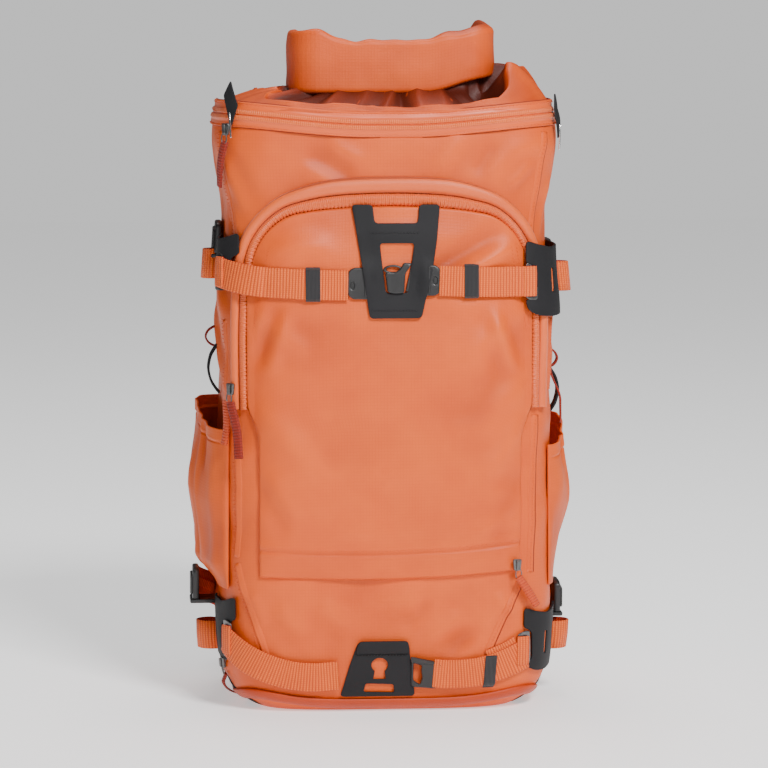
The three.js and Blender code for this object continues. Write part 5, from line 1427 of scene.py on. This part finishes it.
def sweep(name, route, across, ring_at, count):
    """A closed band along a route in the air, held flat along one direction, from its section at each share."""
    route = smooth_line(route, count)
    run = run_of(route)
    across = across - run * (run @ np.array(across, float))[:, None]
    across /= np.linalg.norm(across, axis=1)[:, None]
    proud = np.cross(run, across)
    rings = np.array([ring_at(share) for share in np.arange(count + 1) / count])
    rings = np.concatenate([rings, rings[:, :1]], axis=1)
    rows = route[:, None] + across[:, None] * rings[..., :1] + proud[:, None] * rings[..., 1:]
    ends = [row.mean(axis=0) + 0 * row for row in (rows[0], rows[-1])]
    points = around_centre([ends[0], *rows, ends[1]])
    across_map, along_map = lengths(points[len(points) // 2]), lengths(points.mean(axis=1))
    return sheet_of(name, points, np.stack(np.meshgrid(across_map - across_map[-1] / 4, along_map), axis=-1))


def pad_ring(wide, thick, share, count=56):
    """A padded section: crowned, pinched at a bound edge, rounded off at both ends."""
    turn = np.linspace(0, 2 * math.pi, count, endpoint=False)
    end = math.sqrt(1 - max(0.0, 1 - min(share, 1 - share) / 0.02) ** 2) * 0.4 + 0.6
    x = wide / 2 * end * np.sign(np.cos(turn)) * np.abs(np.cos(turn)) ** 0.7
    y = thick / 2 * np.sign(np.sin(turn)) * np.abs(np.sin(turn)) ** 0.7
    return np.stack([x, y * (1 - 0.42 * np.exp(-(((np.abs(x) - wide / 2 + 7) / 2.0) ** 2)))], axis=1)


shoulder_route = np.array([
    (56, 105.0, 466), (58, 115.0, 478), (62, 141.0, 458), (70, 163.0, 382), (80, 157.0, 282), (92, 129.5, 190),
])
web_route = np.array([(84, 142, 240), (92, 128.5, 190), (118, 110, 140), (131, 96, 95), (132, 92, 72)])
belt_half = [(-128, 161.8, 90), (-121.6, 137.8, 93), (-97.3, 120.8, 96), (-57.6, 113.8, 96)]
handle_half = [(-46, 98.5, 493), (-45, 99.5, 509), (-32, 101.5, 526)]
belt_route, handle_route = [
    [*half, middle, *[(-x, y, z) for x, y, z in half[::-1]]]
    for half, middle in ((belt_half, (0, 113.8, 96)), (handle_half, (0, 102.5, 529)))
]
flat_ring = np.array([(a, h - 0.9) for a, h, _ in web_profile])
black_web = web_finish("black_webbing", (0.032, 0.031, 0.033), (0.008, 0.008, 0.008), (0.008, 0.008, 0.008))
for name, side in (("left", -1), ("right", 1)):
    turned = (side, 1, 1)
    strap = sweep(
        "shoulder_pad_" + name, shoulder_route * turned, (1, 0, 0), lambda share: pad_ring(62 - 8 * share**3, 12, share), 150,
    )
    finish_piece(strap, mesh_cloth.material, "black_mesh", "shoulder_strap_" + name)
    for kind, route, scale in (("web", web_route, (1, 1)), ("tape", shoulder_route[2:], (0.8, 7.6))):
        band = sweep("shoulder_" + kind + "_" + name, route * turned, (1, 0, 0), lambda share: flat_ring * scale, 90)
        finish_piece(band, black_web, "black_webbing")
belt = sweep(
    "hip_belt_pad", belt_route, (0, 0, 1), lambda share: pad_ring(78 * (1 - 0.45 * abs(2 * share - 1) ** 3), 13, share), 170,
)
finish_piece(belt, mesh_cloth.material, "black_mesh", "hip_belt")
handle = sweep("carry_handle", handle_route, (0, 1, 0), lambda share: flat_ring * (0.72, 1.5), 110)
finish_piece(handle, black_web, "black_webbing", "grab_handle")

# Sizes
# The box round everything that is shown, the floor left out.
low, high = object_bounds()
